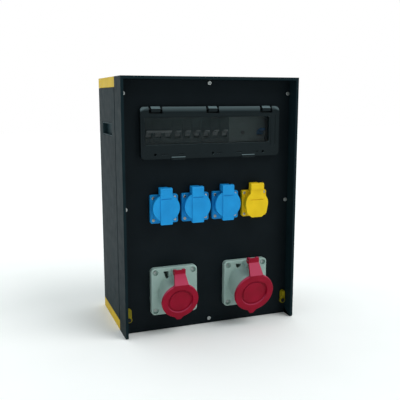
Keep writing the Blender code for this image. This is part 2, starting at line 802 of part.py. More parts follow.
def build_socket(name, x, colour, collar_front, flange):
    """A domestic socket: square flange, round collar and well, back housing and a hinge tongue on top."""
    body = block(
        name,
        (x - flange, x + flange),
        (FLANGE_FRONT, PANEL_FRONT - GAP),
        (SOCKET_Z - flange, SOCKET_Z + flange),
        round_axis=1,
        radius=FLANGE_RADIUS,
    )
    barrel = turned(
        name + "_barrel",
        place(x, PANEL_FRONT, SOCKET_Z),
        (0, -1, 0),
        (
            (0.0, PANEL_FRONT - collar_front),
            (COLLAR_RADIUS, PANEL_FRONT - collar_front),
            (COLLAR_RADIUS, 1.0),
            (HOUSING_RADIUS, 1.0),
            (HOUSING_RADIUS, PANEL_FRONT - HOUSING_BACK),
            (0.0, PANEL_FRONT - HOUSING_BACK),
        ),
    )
    plate = block(
        name + "_hinge_plate",
        (x - TONGUE_PLATE_HALF, x + TONGUE_PLATE_HALF),
        (TONGUE_PLATE_FRONT, PANEL_FRONT - GAP),
        (SOCKET_Z + flange - 4.0, BAND_HIGH - 1.0),
    )
    tongue = block(
        name + "_tongue",
        (x - TONGUE_HALF, x + TONGUE_HALF),
        (LID_HINGE_Y, TONGUE_PLATE_FRONT + 2.0),
        (LID_HINGE_Z - TONGUE_HALF_HEIGHT, LID_HINGE_Z + TONGUE_HALF_HEIGHT),
    )
    eye = rod(name + "_eye", place(x, LID_HINGE_Y, LID_HINGE_Z), (1, 0, 0), TONGUE_HALF_HEIGHT, 2 * TONGUE_HALF, 16)
    pin = rod(name + "_pin", place(x, LID_HINGE_Y, LID_HINGE_Z), (1, 0, 0), LID_PIN, 2 * LID_PIN_HALF, 12)
    length = WELL_FLOOR - collar_front + 5.0
    well_centre = place(x, WELL_FLOOR - length / 2, SOCKET_Z)
    fuse(body, barrel, plate, tongue, eye, pin)
    carve(body, rod(name + "_well", well_centre, (0, 1, 0), WELL_RADIUS, length, 32))
    for side in (-1, 1):
        middle = (WELL_FLOOR - 2.0 + PIN_HOLE_END) / 2
        hole_centre = place(x + side * PIN_HOLE_SPACING, middle, SOCKET_Z)
        hole = rod(name + "_pin_hole", hole_centre, (0, 1, 0), PIN_HOLE, PIN_HOLE_END - WELL_FLOOR + 2.0, 12)
        carve(body, hole)
    finish(body, colour)


def hinge_cuts(name, x, half, front):
    """What is taken out of a socket lid's hinge block: the tongue's slot and the pin's bore."""
    slot = block(
        name + "_slot",
        (x - TONGUE_HALF - GAP, x + TONGUE_HALF + GAP),
        (front, BLOCK_BACK + 10.0),
        (LID_HINGE_Z - 3.8, BAND_HIGH + 5.0),
    )
    bore = rod(name + "_bore", place(x, LID_HINGE_Y, LID_HINGE_Z), (1, 0, 0), LID_PIN + GAP, 2 * (LID_PIN_HALF + GAP), 12)
    return slot, bore


def build_blue_lid(name, x):
    pivot = place(x, LID_HINGE_Y, LID_HINGE_Z)
    band = block(
        name,
        (x - BAND_HALF, x + BAND_HALF),
        (BAND_FRONT, LID_BACK),
        (BAND_LOW, BAND_HIGH - 4.0),
    )
    middle = (LID_FRONT + LID_BACK) / 2
    disc = rod(name + "_disc", place(x, middle, LID_CENTRE_Z), (0, 1, 0), LID_RADIUS, LID_BACK - LID_FRONT, 40)
    head = block(
        name + "_head",
        (x - BAND_HALF, x + BAND_HALF),
        (BAND_FRONT, BLOCK_BACK),
        (BLOCK_LOW, BAND_HIGH),
        round_axis=0,
        radius=3.0,
        keep=lambda spot: spot.z > 0 or spot.y > 0,
    )
    fuse(band, disc, head)
    carve(band, *hinge_cuts(name, x, BAND_HALF, BAND_FRONT + 3.5))
    finish(band, "blue", pivot)


def build_yellow_lid(name, x):
    pivot = place(x, LID_HINGE_Y, LID_HINGE_Z)
    points = []
    for step in range(25):
        angle = math.radians(-12.0 + 204.0 * step / 24)
        points.append((x + YELLOW_RADIUS * math.cos(angle), YELLOW_Z + YELLOW_RADIUS * math.sin(angle)))
    for dx, dz in ((-19.0, -18.4), (-9.6, -25.2), (9.6, -25.2), (19.0, -18.4)):
        points.append((x + dx, YELLOW_Z + dz))
    plate = outline(name, points, (YELLOW_FRONT, YELLOW_BACK))
    neck = block(
        name + "_neck",
        (x - YELLOW_BLOCK_HALF, x + YELLOW_BLOCK_HALF),
        (YELLOW_FRONT, YELLOW_BACK),
        (YELLOW_Z + 10.0, BAND_HIGH - 4.0),
    )
    head = block(
        name + "_head",
        (x - YELLOW_BLOCK_HALF, x + YELLOW_BLOCK_HALF),
        (YELLOW_FRONT - 1.6, BLOCK_BACK),
        (BLOCK_LOW + 0.5, BAND_HIGH),
        round_axis=0,
        radius=3.0,
        keep=lambda spot: spot.z > 0 or spot.y > 0,
    )
    fuse(plate, neck, head)
    carve(plate, *hinge_cuts(name, x, YELLOW_BLOCK_HALF, YELLOW_FRONT - 1.6 + 2.3))
    finish(plate, "socket_yellow", pivot)


def cee_point(x, size, sideways, up, forward):
    """A point measured from the centre of the lid's face, across, up the lid and out along its axis."""
    face = place(x, size["face"][0], size["face"][1])
    return face + (WIDE * sideways + CEE_UP * up + CEE_FORWARD * forward) * MM


def build_cee_body(name, x, size):
    body = block(
        name,
        (x - CEE_HALF, x + CEE_HALF),
        (CEE_FRONT, PANEL_FRONT - GAP),
        (CEE_Z - CEE_HALF, CEE_Z + CEE_HALF),
        round_axis=1,
        radius=CEE_RADIUS,
        steps=4,
    )
    housing = rod(
        name + "_housing",
        place(x, (CEE_FRONT + 2.0 + CEE_HOUSING_BACK) / 2, CEE_Z),
        (0, 1, 0),
        size["housing"],
        CEE_HOUSING_BACK - CEE_FRONT - 2.0,
        40,
    )
    rim = -CEE_LID_THICK - GAP
    tube_end = rim - 52.0
    collar = turned(
        name + "_collar",
        cee_point(x, size, 0.0, 0.0, 0.0),
        CEE_FORWARD,
        (
            (0.0, rim),
            (size["collar"] + CEE_WALL - 1.0, rim),
            (size["collar"] + CEE_WALL - 1.0, rim - CEE_RIM_LENGTH),
            (size["collar"], rim - CEE_RIM_LENGTH - 2.5),
            (size["collar"], tube_end + 14.0),
            (size["collar"] * 0.8, tube_end),
            (0.0, tube_end),
        ),
        sides=40,
    )
    hinge_y, hinge_z = size["hinge"]
    eye = rod(name + "_eye", place(x, hinge_y, hinge_z), (1, 0, 0), 3.2, 2 * CEE_TONGUE_HALF, 16)
    corners = []
    for sideways in (-CEE_TONGUE_HALF, CEE_TONGUE_HALF):
        for depth, height in (
            (hinge_y - 2.0, hinge_z - 2.4),
            (hinge_y + 0.5, hinge_z + 3.1),
            (CEE_FRONT + 4.0, CEE_Z + CEE_HALF - 3.0),
            (CEE_FRONT + 4.0, CEE_Z + 14.0),
        ):
            corners.append(place(x + sideways, depth, height))
    tongue = wedge(name + "_tongue", corners)
    bore = rod(
        name + "_bore",
        cee_point(x, size, 0.0, 0.0, rim - CEE_BORE_DEPTH / 2 + 5.0),
        CEE_FORWARD,
        size["collar"] - CEE_WALL,
        CEE_BORE_DEPTH + 10.0,
        40,
    )
    pin_bore = rod(name + "_pin_bore", place(x, hinge_y, hinge_z), (1, 0, 0), CEE_PIN + GAP, 40.0, 12)
    fuse(body, housing, collar, tongue, eye)
    carve(body, bore, pin_bore)
    finish(body, "pale_grey")


def build_cee_carrier(name, x, size):
    """The block of contact tubes standing on the floor of the socket."""
    floor = -CEE_LID_THICK - GAP - CEE_BORE_DEPTH
    middle = floor + GAP + CEE_CARRIER_LENGTH / 2
    carrier = rod(name, cee_point(x, size, 0.0, 0.0, middle), CEE_FORWARD, size["carrier"], CEE_CARRIER_LENGTH, 32)
    ring = size["carrier"] * 0.62
    top = floor + GAP + CEE_CARRIER_LENGTH
    for step in range(5):
        angle = math.radians(-90.0 + 72.0 * step)
        point = cee_point(x, size, ring * math.cos(angle), ring * math.sin(angle), top - 8.0)
        carve(carrier, rod(name + "_tube", point, CEE_FORWARD, 3.4 if step else 4.2, 24.0, 12))
    finish(carrier, "black")


def build_cee_lid(name, x, size):
    hinge_y, hinge_z = size["hinge"]
    pivot = place(x, hinge_y, hinge_z)
    knuckle = rod(name, pivot, (1, 0, 0), size["knuckle"], 2 * CEE_ARM_HALF, 24)
    lid = size["lid"]
    dish = size["dish"]
    disc = turned(
        name + "_disc",
        cee_point(x, size, 0.0, 0.0, 0.0),
        CEE_FORWARD,
        (
            (0.0, -1.8),
            (dish - 1.2, -1.8),
            (dish, 0.0),
            (lid - 1.0, 0.0),
            (lid, -1.0),
            (lid, -CEE_LID_THICK),
            (0.0, -CEE_LID_THICK),
        ),
        sides=48,
    )
    corners = []
    for sideways in (-CEE_ARM_HALF, CEE_ARM_HALF):
        for depth, height in ((-size["knuckle"], 0.0), (-1.0, size["knuckle"] * 0.9), (-0.5, -3.0)):
            corners.append(place(x + sideways, hinge_y + depth, hinge_z + height))
    for sideways in (-13.8, 13.8):
        for forward in (-0.1, -CEE_LID_THICK + 1.3):
            corners.append(cee_point(x, size, sideways, lid - 1.0, forward))
    arm = wedge(name + "_arm", corners)
    fillet = wedge(
        name + "_root",
        [
            cee_point(x, size, sideways, up, forward)
            for sideways, up in ((-13.8, lid - 1.0), (13.8, lid - 1.0), (-17.6, lid - 5.6), (17.6, lid - 5.6))
            for forward in (-0.15, -CEE_LID_THICK + 0.15)
        ],
    )
    tab = wedge(
        name + "_tab",
        [
            cee_point(x, size, sideways, up, forward)
            for sideways, up in ((-3.0, -size["tab"]), (3.0, -size["tab"]), (-9.0, -lid + 2.0), (9.0, -lid + 2.0))
            for forward in (-0.2, -CEE_LID_THICK + 0.2)
        ],
    )
    slot = block(
        name + "_slot",
        (x - CEE_TONGUE_HALF - GAP, x + CEE_TONGUE_HALF + GAP),
        (hinge_y - 3.7, hinge_y + 12.0),
        (hinge_z - 6.4, hinge_z + 12.0),
    )
    bore = rod(name + "_bore", pivot, (1, 0, 0), CEE_PIN + GAP, 30.0, 12)
    fuse(knuckle, disc, arm, fillet, tab)
    carve(knuckle, slot, bore)
    finish(knuckle, "red", pivot)
    pin = rod(name.replace("_lid", "_hinge_pin"), pivot, (1, 0, 0), CEE_PIN, 2 * CEE_ARM_HALF - 0.6, 16)
    finish(pin, "steel")


def build_terminal_bar():
    """The earth terminal bar on the inside of the back wall."""
    back = DEPTH - SHELL_WALL - GAP
    bar = block("earth_terminal_bar", (-62.0, 62.0), (back - 9.0, back), (144.0, 154.0))
    for step in range(10):
        x = -51.75 + 11.5 * step
        carve(bar, rod("terminal_hole", place(x, back - 10.0, 149.0), (0, 1, 0), 2.6, 12.0, 12))
    finish(bar, "brass")


clear_scene()
BOX = collection("portable_power_distribution_box")
TOOLS = collection("cutters")

build_hood()
build_shell()
build_grip(-1, "grip_cup_left")
build_grip(1, "grip_cup_right")
build_cap("cap_bottom", 0.0, CAP_HEIGHT, 1)
build_cap("cap_top", HEIGHT - CAP_HEIGHT, HEIGHT, -1)
build_panel()
for screw_name, (screw_x, screw_z) in SCREWS.items():
    build_screw(screw_name, screw_x, screw_z, PANEL_FRONT - GAP)
for latch_side, latch_end in ((-1, "left"), (1, "right")):
    build_latch(latch_side, f"turn_latch_{latch_end}")
    build_screw(f"latch_screw_{latch_end}", latch_side * LATCH_X, LATCH_Z, LATCH_FRONT - GAP)
build_window_frame()
build_window_cover()
build_window_small_parts()
build_rail()
build_breakers()
for socket in range(3):
    build_socket(f"blue_socket_{socket + 1}", SOCKET_X[socket], "blue", COLLAR_FRONT, FLANGE_HALF)
    build_blue_lid(f"blue_socket_{socket + 1}_lid", SOCKET_X[socket])
build_socket("yellow_socket", SOCKET_X[3], "socket_yellow", YELLOW_COLLAR_FRONT, YELLOW_FLANGE_HALF)
build_yellow_lid("yellow_socket_lid", SOCKET_X[3])
for cee_side, cee_name, cee_size in ((-1, "small_cee", CEE_SMALL), (1, "large_cee", CEE_LARGE)):
    build_cee_body(f"{cee_name}_socket", cee_side * CEE_X, cee_size)
    build_cee_carrier(f"{cee_name}_contacts", cee_side * CEE_X, cee_size)
    build_cee_lid(f"{cee_name}_lid", cee_side * CEE_X, cee_size)
build_terminal_bar()
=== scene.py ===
# %% [markdown]
# # A portable power distribution box
#
# Boxes like this stand on building sites and behind stages. One supply goes in, and breakers and sockets
# share it out. The case is a grey-green moulded shell with yellow end caps. A deep hood stands in front
# of a black panel, so that rain and knocks do not reach the sockets.
#
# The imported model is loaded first. It gives the places of the pieces; sizes that it holds only in its
# shapes are repeated here in millimetres.

# %% Load the frame
import math

import bmesh
import bpy
from mathutils import Matrix, Vector


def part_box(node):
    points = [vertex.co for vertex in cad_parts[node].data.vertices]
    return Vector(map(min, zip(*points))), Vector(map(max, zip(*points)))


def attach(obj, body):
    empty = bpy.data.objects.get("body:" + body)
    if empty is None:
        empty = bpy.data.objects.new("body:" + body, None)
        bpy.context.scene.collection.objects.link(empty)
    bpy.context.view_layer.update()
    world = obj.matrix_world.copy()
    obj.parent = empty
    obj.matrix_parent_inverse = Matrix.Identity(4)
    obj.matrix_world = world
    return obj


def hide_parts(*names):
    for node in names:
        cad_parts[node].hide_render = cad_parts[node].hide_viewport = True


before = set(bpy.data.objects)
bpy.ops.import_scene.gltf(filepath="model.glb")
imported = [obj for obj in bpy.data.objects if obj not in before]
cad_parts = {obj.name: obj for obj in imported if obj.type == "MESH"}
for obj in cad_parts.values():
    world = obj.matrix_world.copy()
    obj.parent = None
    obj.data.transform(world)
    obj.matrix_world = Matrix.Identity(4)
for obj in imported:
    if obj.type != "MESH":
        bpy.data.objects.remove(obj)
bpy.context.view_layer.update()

# %% [markdown]
# ## Places
#
# Lengths are easier to read in millimetres, so one function turns them into points in metres. It takes
# the width, the depth behind the hood's front edge and the height. That front edge comes from the frame.

# %% Points in millimetres
MM = 0.001
HOOD_LOW, HOOD_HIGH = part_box("front_hood")
SIDE = HOOD_HIGH.x / MM
HEIGHT = HOOD_HIGH.z / MM
SHELL_LOW, SHELL_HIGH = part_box("rear_shell")
BACK = (SHELL_HIGH.y - HOOD_LOW.y) / MM


def at(x, depth, z):
    """A point given by its width, its depth behind the hood's front edge and its height."""
    return Vector((x * MM, HOOD_LOW.y + depth * MM, z * MM))


def middle_of(name):
    """The width and height, in millimetres, of the middle of a node."""
    low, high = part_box(name)
    return (low.x + high.x) / 2 / MM, (low.z + high.z) / 2 / MM


print("half width", round(SIDE, 1), "height", round(HEIGHT, 1), "depth", round(BACK, 1))

# %% [markdown]
# ## Helpers for modelling
#
# Everything starts from a box or a turned bar, as stock does in a workshop. Each of these helpers wraps one
# thing that is done by hand in Blender: add the stock, choose faces in edit mode, apply a modifier, cut one
# solid out of another. Everything is deselected first, because an operator acts on all that is selected.

# %% Stock and selection
UP = Vector((0.0, 0.0, 1.0))


def take(piece):
    """Makes one piece the only one selected."""
    bpy.ops.object.select_all(action="DESELECT")
    bpy.context.view_layer.objects.active = piece
    piece.select_set(True)


def cube(name, first, last):
    """A box between two corners."""
    bpy.ops.object.select_all(action="DESELECT")
    bpy.ops.mesh.primitive_cube_add(size=1.0, location=(first + last) / 2)
    piece = bpy.context.object
    piece.name = name
    piece.scale = [abs(side) for side in last - first]
    bpy.ops.object.transform_apply(location=True, rotation=True, scale=True)
    return piece


def drum(name, centre, axis, radius, length, sides=48):
    """A turned bar along an axis."""
    bpy.ops.object.select_all(action="DESELECT")
    bpy.ops.mesh.primitive_cylinder_add(
        vertices=sides,
        radius=radius * MM,
        depth=length * MM,
        location=centre,
        rotation=UP.rotation_difference(Vector(axis)).to_euler(),
    )
    piece = bpy.context.object
    piece.name = name
    bpy.ops.object.transform_apply(location=True, rotation=True, scale=True)
    return piece


def pick(piece, kind, test):
    """Opens a piece in edit mode with its faces or edges that pass a test of place and direction selected."""
    take(piece)
    bpy.ops.object.mode_set(mode="EDIT")
    bpy.ops.mesh.select_mode(type=kind)
    bpy.ops.mesh.select_all(action="DESELECT")
    shape = bmesh.from_edit_mesh(piece.data)
    if kind == "FACE":
        for face in shape.faces:
            face.select_set(bool(test(face.calc_center_median(), face.normal)))
    else:
        for edge in shape.edges:
            first, last = (corner.co for corner in edge.verts)
            edge.select_set(bool(test((first + last) / 2, (last - first).normalized())))
    bmesh.update_edit_mesh(piece.data)


def leave():
    """Goes back to object mode."""
    bpy.ops.object.mode_set(mode="OBJECT")


def draw_out(x, y, z):
    """Extrudes the selected faces by so many millimetres along each axis."""
    bpy.ops.mesh.extrude_region_move(TRANSFORM_OT_translate={"value": (x * MM, y * MM, z * MM)})


# %% [markdown]
# Faces and edges are chosen by where they point. The box's front looks along minus Y, so a face to the front
# has a normal that runs that way, and an edge from front to back runs along Y. These four choices come back
# all through the lesson, so each gets a name. Most of the corners that are rounded run from front to back.

# %% Directions
STRAIGHT = 0.9  # how nearly a direction has to follow an axis


def to_front(spot, way):
    """Faces that look forward."""
    return way.y < -STRAIGHT


def to_floor(spot, way):
    """Faces that look down."""
    return way.z < -STRAIGHT


def front_to_back(spot, way):
    """Edges that run along the depth."""
    return abs(way.y) > STRAIGHT


def side_to_side(spot, way):
    """Edges that run along the width."""
    return abs(way.x) > STRAIGHT


print("four directions, each within", round(math.degrees(math.acos(STRAIGHT))), "degrees of an axis")

# %% [markdown]
# A workshop drills, saws, files and glues. Here a Boolean modifier with its exact solver drills and glues, a
# bevel files an edge, and a bisect saws along a plane. Modifiers are applied at once, as each is one step of
# the making and nothing is left to change later.

# %% Modifiers, cuts and joins
def apply(piece, kind, **settings):
    """Adds a modifier, sets it and applies it."""
    step = piece.modifiers.new(kind, kind)
    for setting, value in settings.items():
        setattr(step, setting, value)
    take(piece)
    bpy.ops.object.modifier_apply(modifier=step.name)


def combine(piece, tools, operation):
    """Joins other solids to a piece or cuts them out of it, and removes them."""
    for tool in tools:
        apply(piece, "BOOLEAN", operation=operation, solver="EXACT", object=tool)
        bpy.data.objects.remove(tool, do_unlink=True)
    return piece


def weld(piece, *tools):
    """Joins solids to a piece."""
    return combine(piece, tools, "UNION")


def cut(piece, *tools):
    """Cuts solids out of a piece."""
    return combine(piece, tools, "DIFFERENCE")


def round_edges(piece, test, radius, steps):
    """Rounds the edges that pass a test."""
    pick(piece, "EDGE", test)
    bpy.ops.mesh.bevel(offset=radius * MM, offset_type="OFFSET", segments=steps, affect="EDGES")
    leave()


def slice_off(piece, point, facing):
    """Takes off what lies beyond a plane and closes the cut."""
    take(piece)
    bpy.ops.object.mode_set(mode="EDIT")
    bpy.ops.mesh.select_all(action="SELECT")
    bpy.ops.mesh.bisect(plane_co=point, plane_no=facing, use_fill=True, clear_outer=True)
    leave()


def copy_of(piece, name, move):
    """A copy with its own mesh, moved from where the first one is."""
    made = bpy.data.objects.new(name, piece.data.copy())
    bpy.context.scene.collection.objects.link(made)
    made.data.transform(Matrix.Translation(move))
    return made


# %% [markdown]
# ## Finishing a piece
#
# No real moulding has a perfectly sharp edge, and a sharp edge catches no light. So every piece ends the
# same way: its edges are rounded a little, its curved faces are shaded smooth, and it gets its material and
# the part of the case that it moves with.

# %% Settle a piece
SHARP_FROM = math.radians(32.0)  # edges that turn more than this are rounded
SMOOTH_TO = math.radians(34.0)  # faces that turn less than this are shaded as one


def settle(piece, paint, body, slot, *nodes, edge=0.4, steps=2):
    """Rounds a finished piece's edges, smooths it, paints it and fixes it to its body."""
    if edge:
        apply(
            piece,
            "BEVEL",
            width=edge * MM,
            segments=steps,
            limit_method="ANGLE",
            angle_limit=SHARP_FROM,
            use_clamp_overlap=True,
        )
    take(piece)
    bpy.ops.object.shade_smooth_by_angle(angle=SMOOTH_TO)
    apply(piece, "WEIGHTED_NORMAL", keep_sharp=True)
    piece.data.materials.clear()
    piece.data.materials.append(paint)
    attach(piece, body)
    if nodes:
        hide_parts(*nodes)
    size = [round(side * 1000, 1) for side in piece.dimensions]
    print(piece.name, size, "mm,", len(piece.data.polygons), "faces, rides on", body)
    return piece


# %% [markdown]
# ## Materials
#
# Most of the box is moulded plastic. Its look comes from three things: a colour that drifts slightly over
# the moulding, a gloss that is not quite even, and a fine grain that the mould leaves. All three come from
# noise on object coordinates, which are metres here, so a grain of so many millimetres is easy to set.
#
# A few mouldings take a paler tint on the faces that look up: painted light, as from above. The tint
# follows the piece's own normals, so it stays on the same faces when a lid swings open.

# %% Colour and node helpers
def linear(text):
    """The linear colour for an sRGB hex value."""
    parts = [int(text[place : place + 2], 16) / 255 for place in (1, 3, 5)]
    flat = [part / 12.92 if part <= 0.04045 else ((part + 0.055) / 1.055) ** 2.4 for part in parts]
    return (*flat, 1.0)


def node(tree, kind, settings=None, links=None):
    """Adds a node, sets its values by name and links its inputs to other nodes' outputs."""
    made = tree.nodes.new("ShaderNode" + kind)
    for name, value in (settings or {}).items():
        if name in made.inputs:
            made.inputs[name].default_value = value
        else:
            setattr(made, name, value)
    for name, source in (links or {}).items():
        tree.links.new(source, made.inputs[name])
    return made


def new_material(name):
    """An empty material with its output node."""
    made = bpy.data.materials.new(name)
    made.use_nodes = True
    made.node_tree.nodes.clear()
    return made, made.node_tree


# %% Moulded plastic
def moulded(name, light, dark, gloss, grain, depth, level=0.4, drift=60.0, painted_top_light=None, **shader):
    """Moulded plastic: two near colours that drift, an uneven gloss, and a grain so many millimetres wide.

    The gloss is a roughness. The drift and the depth of the grain are millimetres too.
    """
    made, tree = new_material(name)
    spot = node(tree, "TexCoord").outputs["Object"]
    drifting = node(tree, "TexNoise", {"Scale": 1000.0 / drift, "Detail": 3.0}, {"Vector": spot})
    colour = node(tree, "ValToRGB", None, {"Fac": drifting.outputs["Fac"]})
    ramp = colour.color_ramp
    ramp.elements[0].position = 0.32
    ramp.elements[0].color = linear(dark)
    ramp.elements[1].position = 0.68
    ramp.elements[1].color = linear(light)
    tone = colour.outputs["Color"]
    # Faces that look up are mixed toward a paler colour: painted light from above.
    if painted_top_light:
        facing = node(tree, "SeparateXYZ", None, {"Vector": node(tree, "TexCoord").outputs["Normal"]})
        slopes = {"From Min": 0.12, "From Max": 0.45, "To Min": 0.0, "To Max": 1.0}
        amount = node(tree, "MapRange", slopes, {"Value": facing.outputs["Z"]})
        top_light_mix = node(tree, "Mix", {"data_type": "RGBA"})
        # A Mix node has sockets of one name for each kind of value; those for colour are 6, 7 and output 2.
        top_light_mix.inputs[7].default_value = linear(painted_top_light)
        tree.links.new(amount.outputs["Result"], top_light_mix.inputs[0])
        tree.links.new(tone, top_light_mix.inputs[6])
        tone = top_light_mix.outputs[2]
    sheen = node(tree, "TexNoise", {"Scale": 1000.0 / (drift * 0.3), "Detail": 4.0}, {"Vector": spot})
    rough = node(
        tree,
        "MapRange",
        {"From Min": 0.3, "From Max": 0.7, "To Min": gloss - 0.04, "To Max": gloss + 0.05},
        {"Value": sheen.outputs["Fac"]},
    )
    fine = {"Scale": 1000.0 / grain, "Detail": 2.0, "Roughness": 0.6}
    pits = node(tree, "TexNoise", fine, {"Vector": spot})
    relief = node(tree, "Bump", {"Strength": 0.5, "Distance": depth * MM}, {"Height": pits.outputs["Fac"]})
    settings = {"IOR": 1.5, "Specular IOR Level": level}
    settings.update(shader)
    links = {
        "Base Color": tone,
        "Roughness": rough.outputs["Result"],
        "Normal": relief.outputs["Normal"],
    }
    skin = node(tree, "BsdfPrincipled", settings, links)
    node(tree, "OutputMaterial", None, {"Surface": skin.outputs["BSDF"]})
    print("material", name)
    return made


# %% [markdown]
# The case is polyethylene or ABS in a grey that leans to green. Its mould is spark eroded, so the skin has
# a satin grain. The real grain is about 0.3 mm wide and is drawn at 1.2 mm, because finer would not show.
# The panel is a darker sheet with a very low gloss: it drinks the light and makes the sockets stand out.

# %% Case, panel and frame plastics
# Spark-eroded ABS: a satin skin that spreads a highlight until it hardly shows.
case_plastic = moulded("Textured grey-green ABS", "#14252a", "#112025", 0.55, 1.2, 0.05, level=0.05)
# The cup behind a hand hole is smoother than the wall. Its paler colour is painted light, so its hollow does
# not go dark.
lit_grip_plastic = moulded("Smooth grey-green ABS", "#26393e", "#213439", 0.5, 1.2, 0.03, level=0.05)
# A matt sheet: almost no reflection, so it reads as one flat dark field.
panel_sheet = moulded("Matt black ABS sheet", "#11191d", "#0e161a", 0.5, 0.9, 0.03, level=0.06)
# The window's moulding is smoother, so its edges glint, and its ledges that face up are painted paler:
# painted light from above.
frame_plastic = moulded(
    "Dark grey polycarbonate", "#141e21", "#101a1d", 0.4, 1.5, 0.02, level=0.12, painted_top_light="#6c8084"
)
# Strong yellow pigment under the same satin skin as the case.
cap_plastic = moulded("Signal yellow ABS", "#d2b01c", "#c4a318", 0.5, 1.2, 0.04, level=0.12)

# %% [markdown]
# Sockets are made of polyamide, which is smoother than the case and takes strong pigment. Blue and yellow
# mark the two kinds of domestic socket, and red lids mark the three-phase ones. Their real grain is about
# 0.1 mm wide and is drawn at 0.7 to 0.9 mm, again so that it shows.

# %% Socket plastics
# Polyamide: a soft, wide highlight over a strong, even colour.
blue_plastic = moulded("Blue polyamide", "#1b97dc", "#178cd0", 0.45, 0.8, 0.015, level=0.15, drift=25.0)
yellow_plastic = moulded("Yellow polyamide", "#ecc81a", "#e0bc14", 0.45, 0.8, 0.015, level=0.15, drift=25.0)
# Deep red, painted paler where the arm and the upper edge face up: painted light from above.
red_plastic = moulded(
    "Red polyamide", "#960b2b", "#870824", 0.45, 0.9, 0.02, level=0.1, drift=25.0, painted_top_light="#b03c58"
)
# Unpainted grey with a little green in it, chalky and nearly without gloss.
pale_plastic = moulded("Pale grey polyamide", "#9fb8b1", "#96aea8", 0.5, 0.8, 0.02, level=0.3, drift=30.0)
# Acetal is waxy. Its yellow is darkened to olive: painted shade, for the hood's shade over the latches.
shaded_latch_plastic = moulded("Yellow acetal", "#8f8410", "#7e740e", 0.4, 0.8, 0.01, level=0.15, drift=12.0)
# Thermoset breaker bodies are dull, and darker than their levers, so the row of levers can be counted.
breaker_plastic = moulded("Grey thermoset", "#7c9091", "#718586", 0.5, 0.7, 0.01, level=0.2, drift=20.0)
lever_plastic = moulded("Light grey nylon", "#d2dede", "#c4d0d0", 0.4, 0.7, 0.01, level=0.3, drift=12.0)
# One blue lever and a paler body mark the residual-current breaker.
lever_blue = moulded("Blue nylon", "#3f9fe6", "#3890d4", 0.35, 0.7, 0.01, level=0.3, drift=12.0)
residual_plastic = moulded("Pale thermoset", "#a9bdbc", "#9db1b0", 0.5, 0.7, 0.01, level=0.2, drift=20.0)
# A plain grey key with a soft sheen.
button_plastic = moulded("Grey nylon", "#7c8686", "#727c7c", 0.4, 0.7, 0.01, drift=12.0)
# The contact block is black and dull, like a hole at the bottom of the collar.
carrier_plastic = moulded("Black contact block", "#141618", "#0f1113", 0.45, 0.7, 0.01, drift=12.0)

# %% [markdown]
# Most screws and pins are zinc-plated steel. Those of the window and the latches are blackened, and the
# earth bar is brass. Plating is never quite even: it has faint clouds, and the turning marks of the blank.
# Real turning marks are 0.1 mm apart. They are drawn 3 mm apart, as finer ones would not show.

# %% Metals
WAVE_STEP = math.tau / 20.0  # how far apart the Wave node draws its lines at a scale of 1
CLOUD = 4.0


def plated(name, light, dark, gloss, marks=3.14):
    """Plated or bare metal with turning marks so many millimetres apart."""
    made, tree = new_material(name)
    spot = node(tree, "TexCoord").outputs["Object"]
    cloud = node(tree, "TexNoise", {"Scale": 1000.0 / CLOUD, "Detail": 3.0}, {"Vector": spot})
    colour = node(tree, "ValToRGB", None, {"Fac": cloud.outputs["Fac"]})
    colour.color_ramp.elements[0].color = linear(dark)
    colour.color_ramp.elements[1].color = linear(light)
    rough = node(
        tree,
        "MapRange",
        {"From Min": 0.3, "From Max": 0.7, "To Min": gloss - 0.05, "To Max": gloss + 0.08},
        {"Value": cloud.outputs["Fac"]},
    )
    turned = {"Scale": WAVE_STEP * 1000.0 / marks, "Distortion": 2.0}
    lines = node(tree, "TexWave", turned, {"Vector": spot})
    relief = node(tree, "Bump", {"Strength": 0.25, "Distance": 0.02 * MM}, {"Height": lines.outputs["Fac"]})
    links = {
        "Base Color": colour.outputs["Color"],
        "Roughness": rough.outputs["Result"],
        "Normal": relief.outputs["Normal"],
    }
    skin = node(tree, "BsdfPrincipled", {"Metallic": 1.0}, links)
    node(tree, "OutputMaterial", None, {"Surface": skin.outputs["BSDF"]})
    print("material", name)
    return made


# Bright zinc: a cool grey mirror, blurred by its clouds.
zinc = plated("Zinc-plated steel", "#c4c9c8", "#a0a6a5", 0.34)
# Passivation turns the zinc warm.
yellow_zinc = plated("Yellow-passivated zinc", "#d8cdb4", "#b9ac92", 0.36)
# Blackened steel hardly shines and stays out of sight on a dark panel.
dark_steel = plated("Blackened steel", "#34383a", "#26292b", 0.5)
# Bare brass is warm, and clearer than the plating.
brass = plated("Brass", "#d9b36a", "#c39a50", 0.3)

# %% [markdown]
# The window is a clear polycarbonate sheet with a dark tint. It is glossy, and the breakers show through it
# as shadows. A mix of plastic and plain transparency does that at a low price: real refraction in a sheet
# this thin would move nothing that can be seen. Moulded sheet is never quite flat, so its waves are 40 mm
# long.

# %% Smoked window
# A sharp gloss over a tint that hides a little less than half of what is behind it.
smoked = moulded("Smoked polycarbonate", "#0b1417", "#091114", 0.12, 40.0, 0.05, level=0.2, Alpha=0.42)

# %% [markdown]
# ## The hood
#
# The hood is one folded or moulded band: two cheeks and a roof, 4.8 mm thick, that stand 25 mm in front of
# the panel. It is made from a box with three faces taken away, and the band then gets its thickness
# inward. The panel is screwed to a thin web inside it, which is a plate with a large opening.

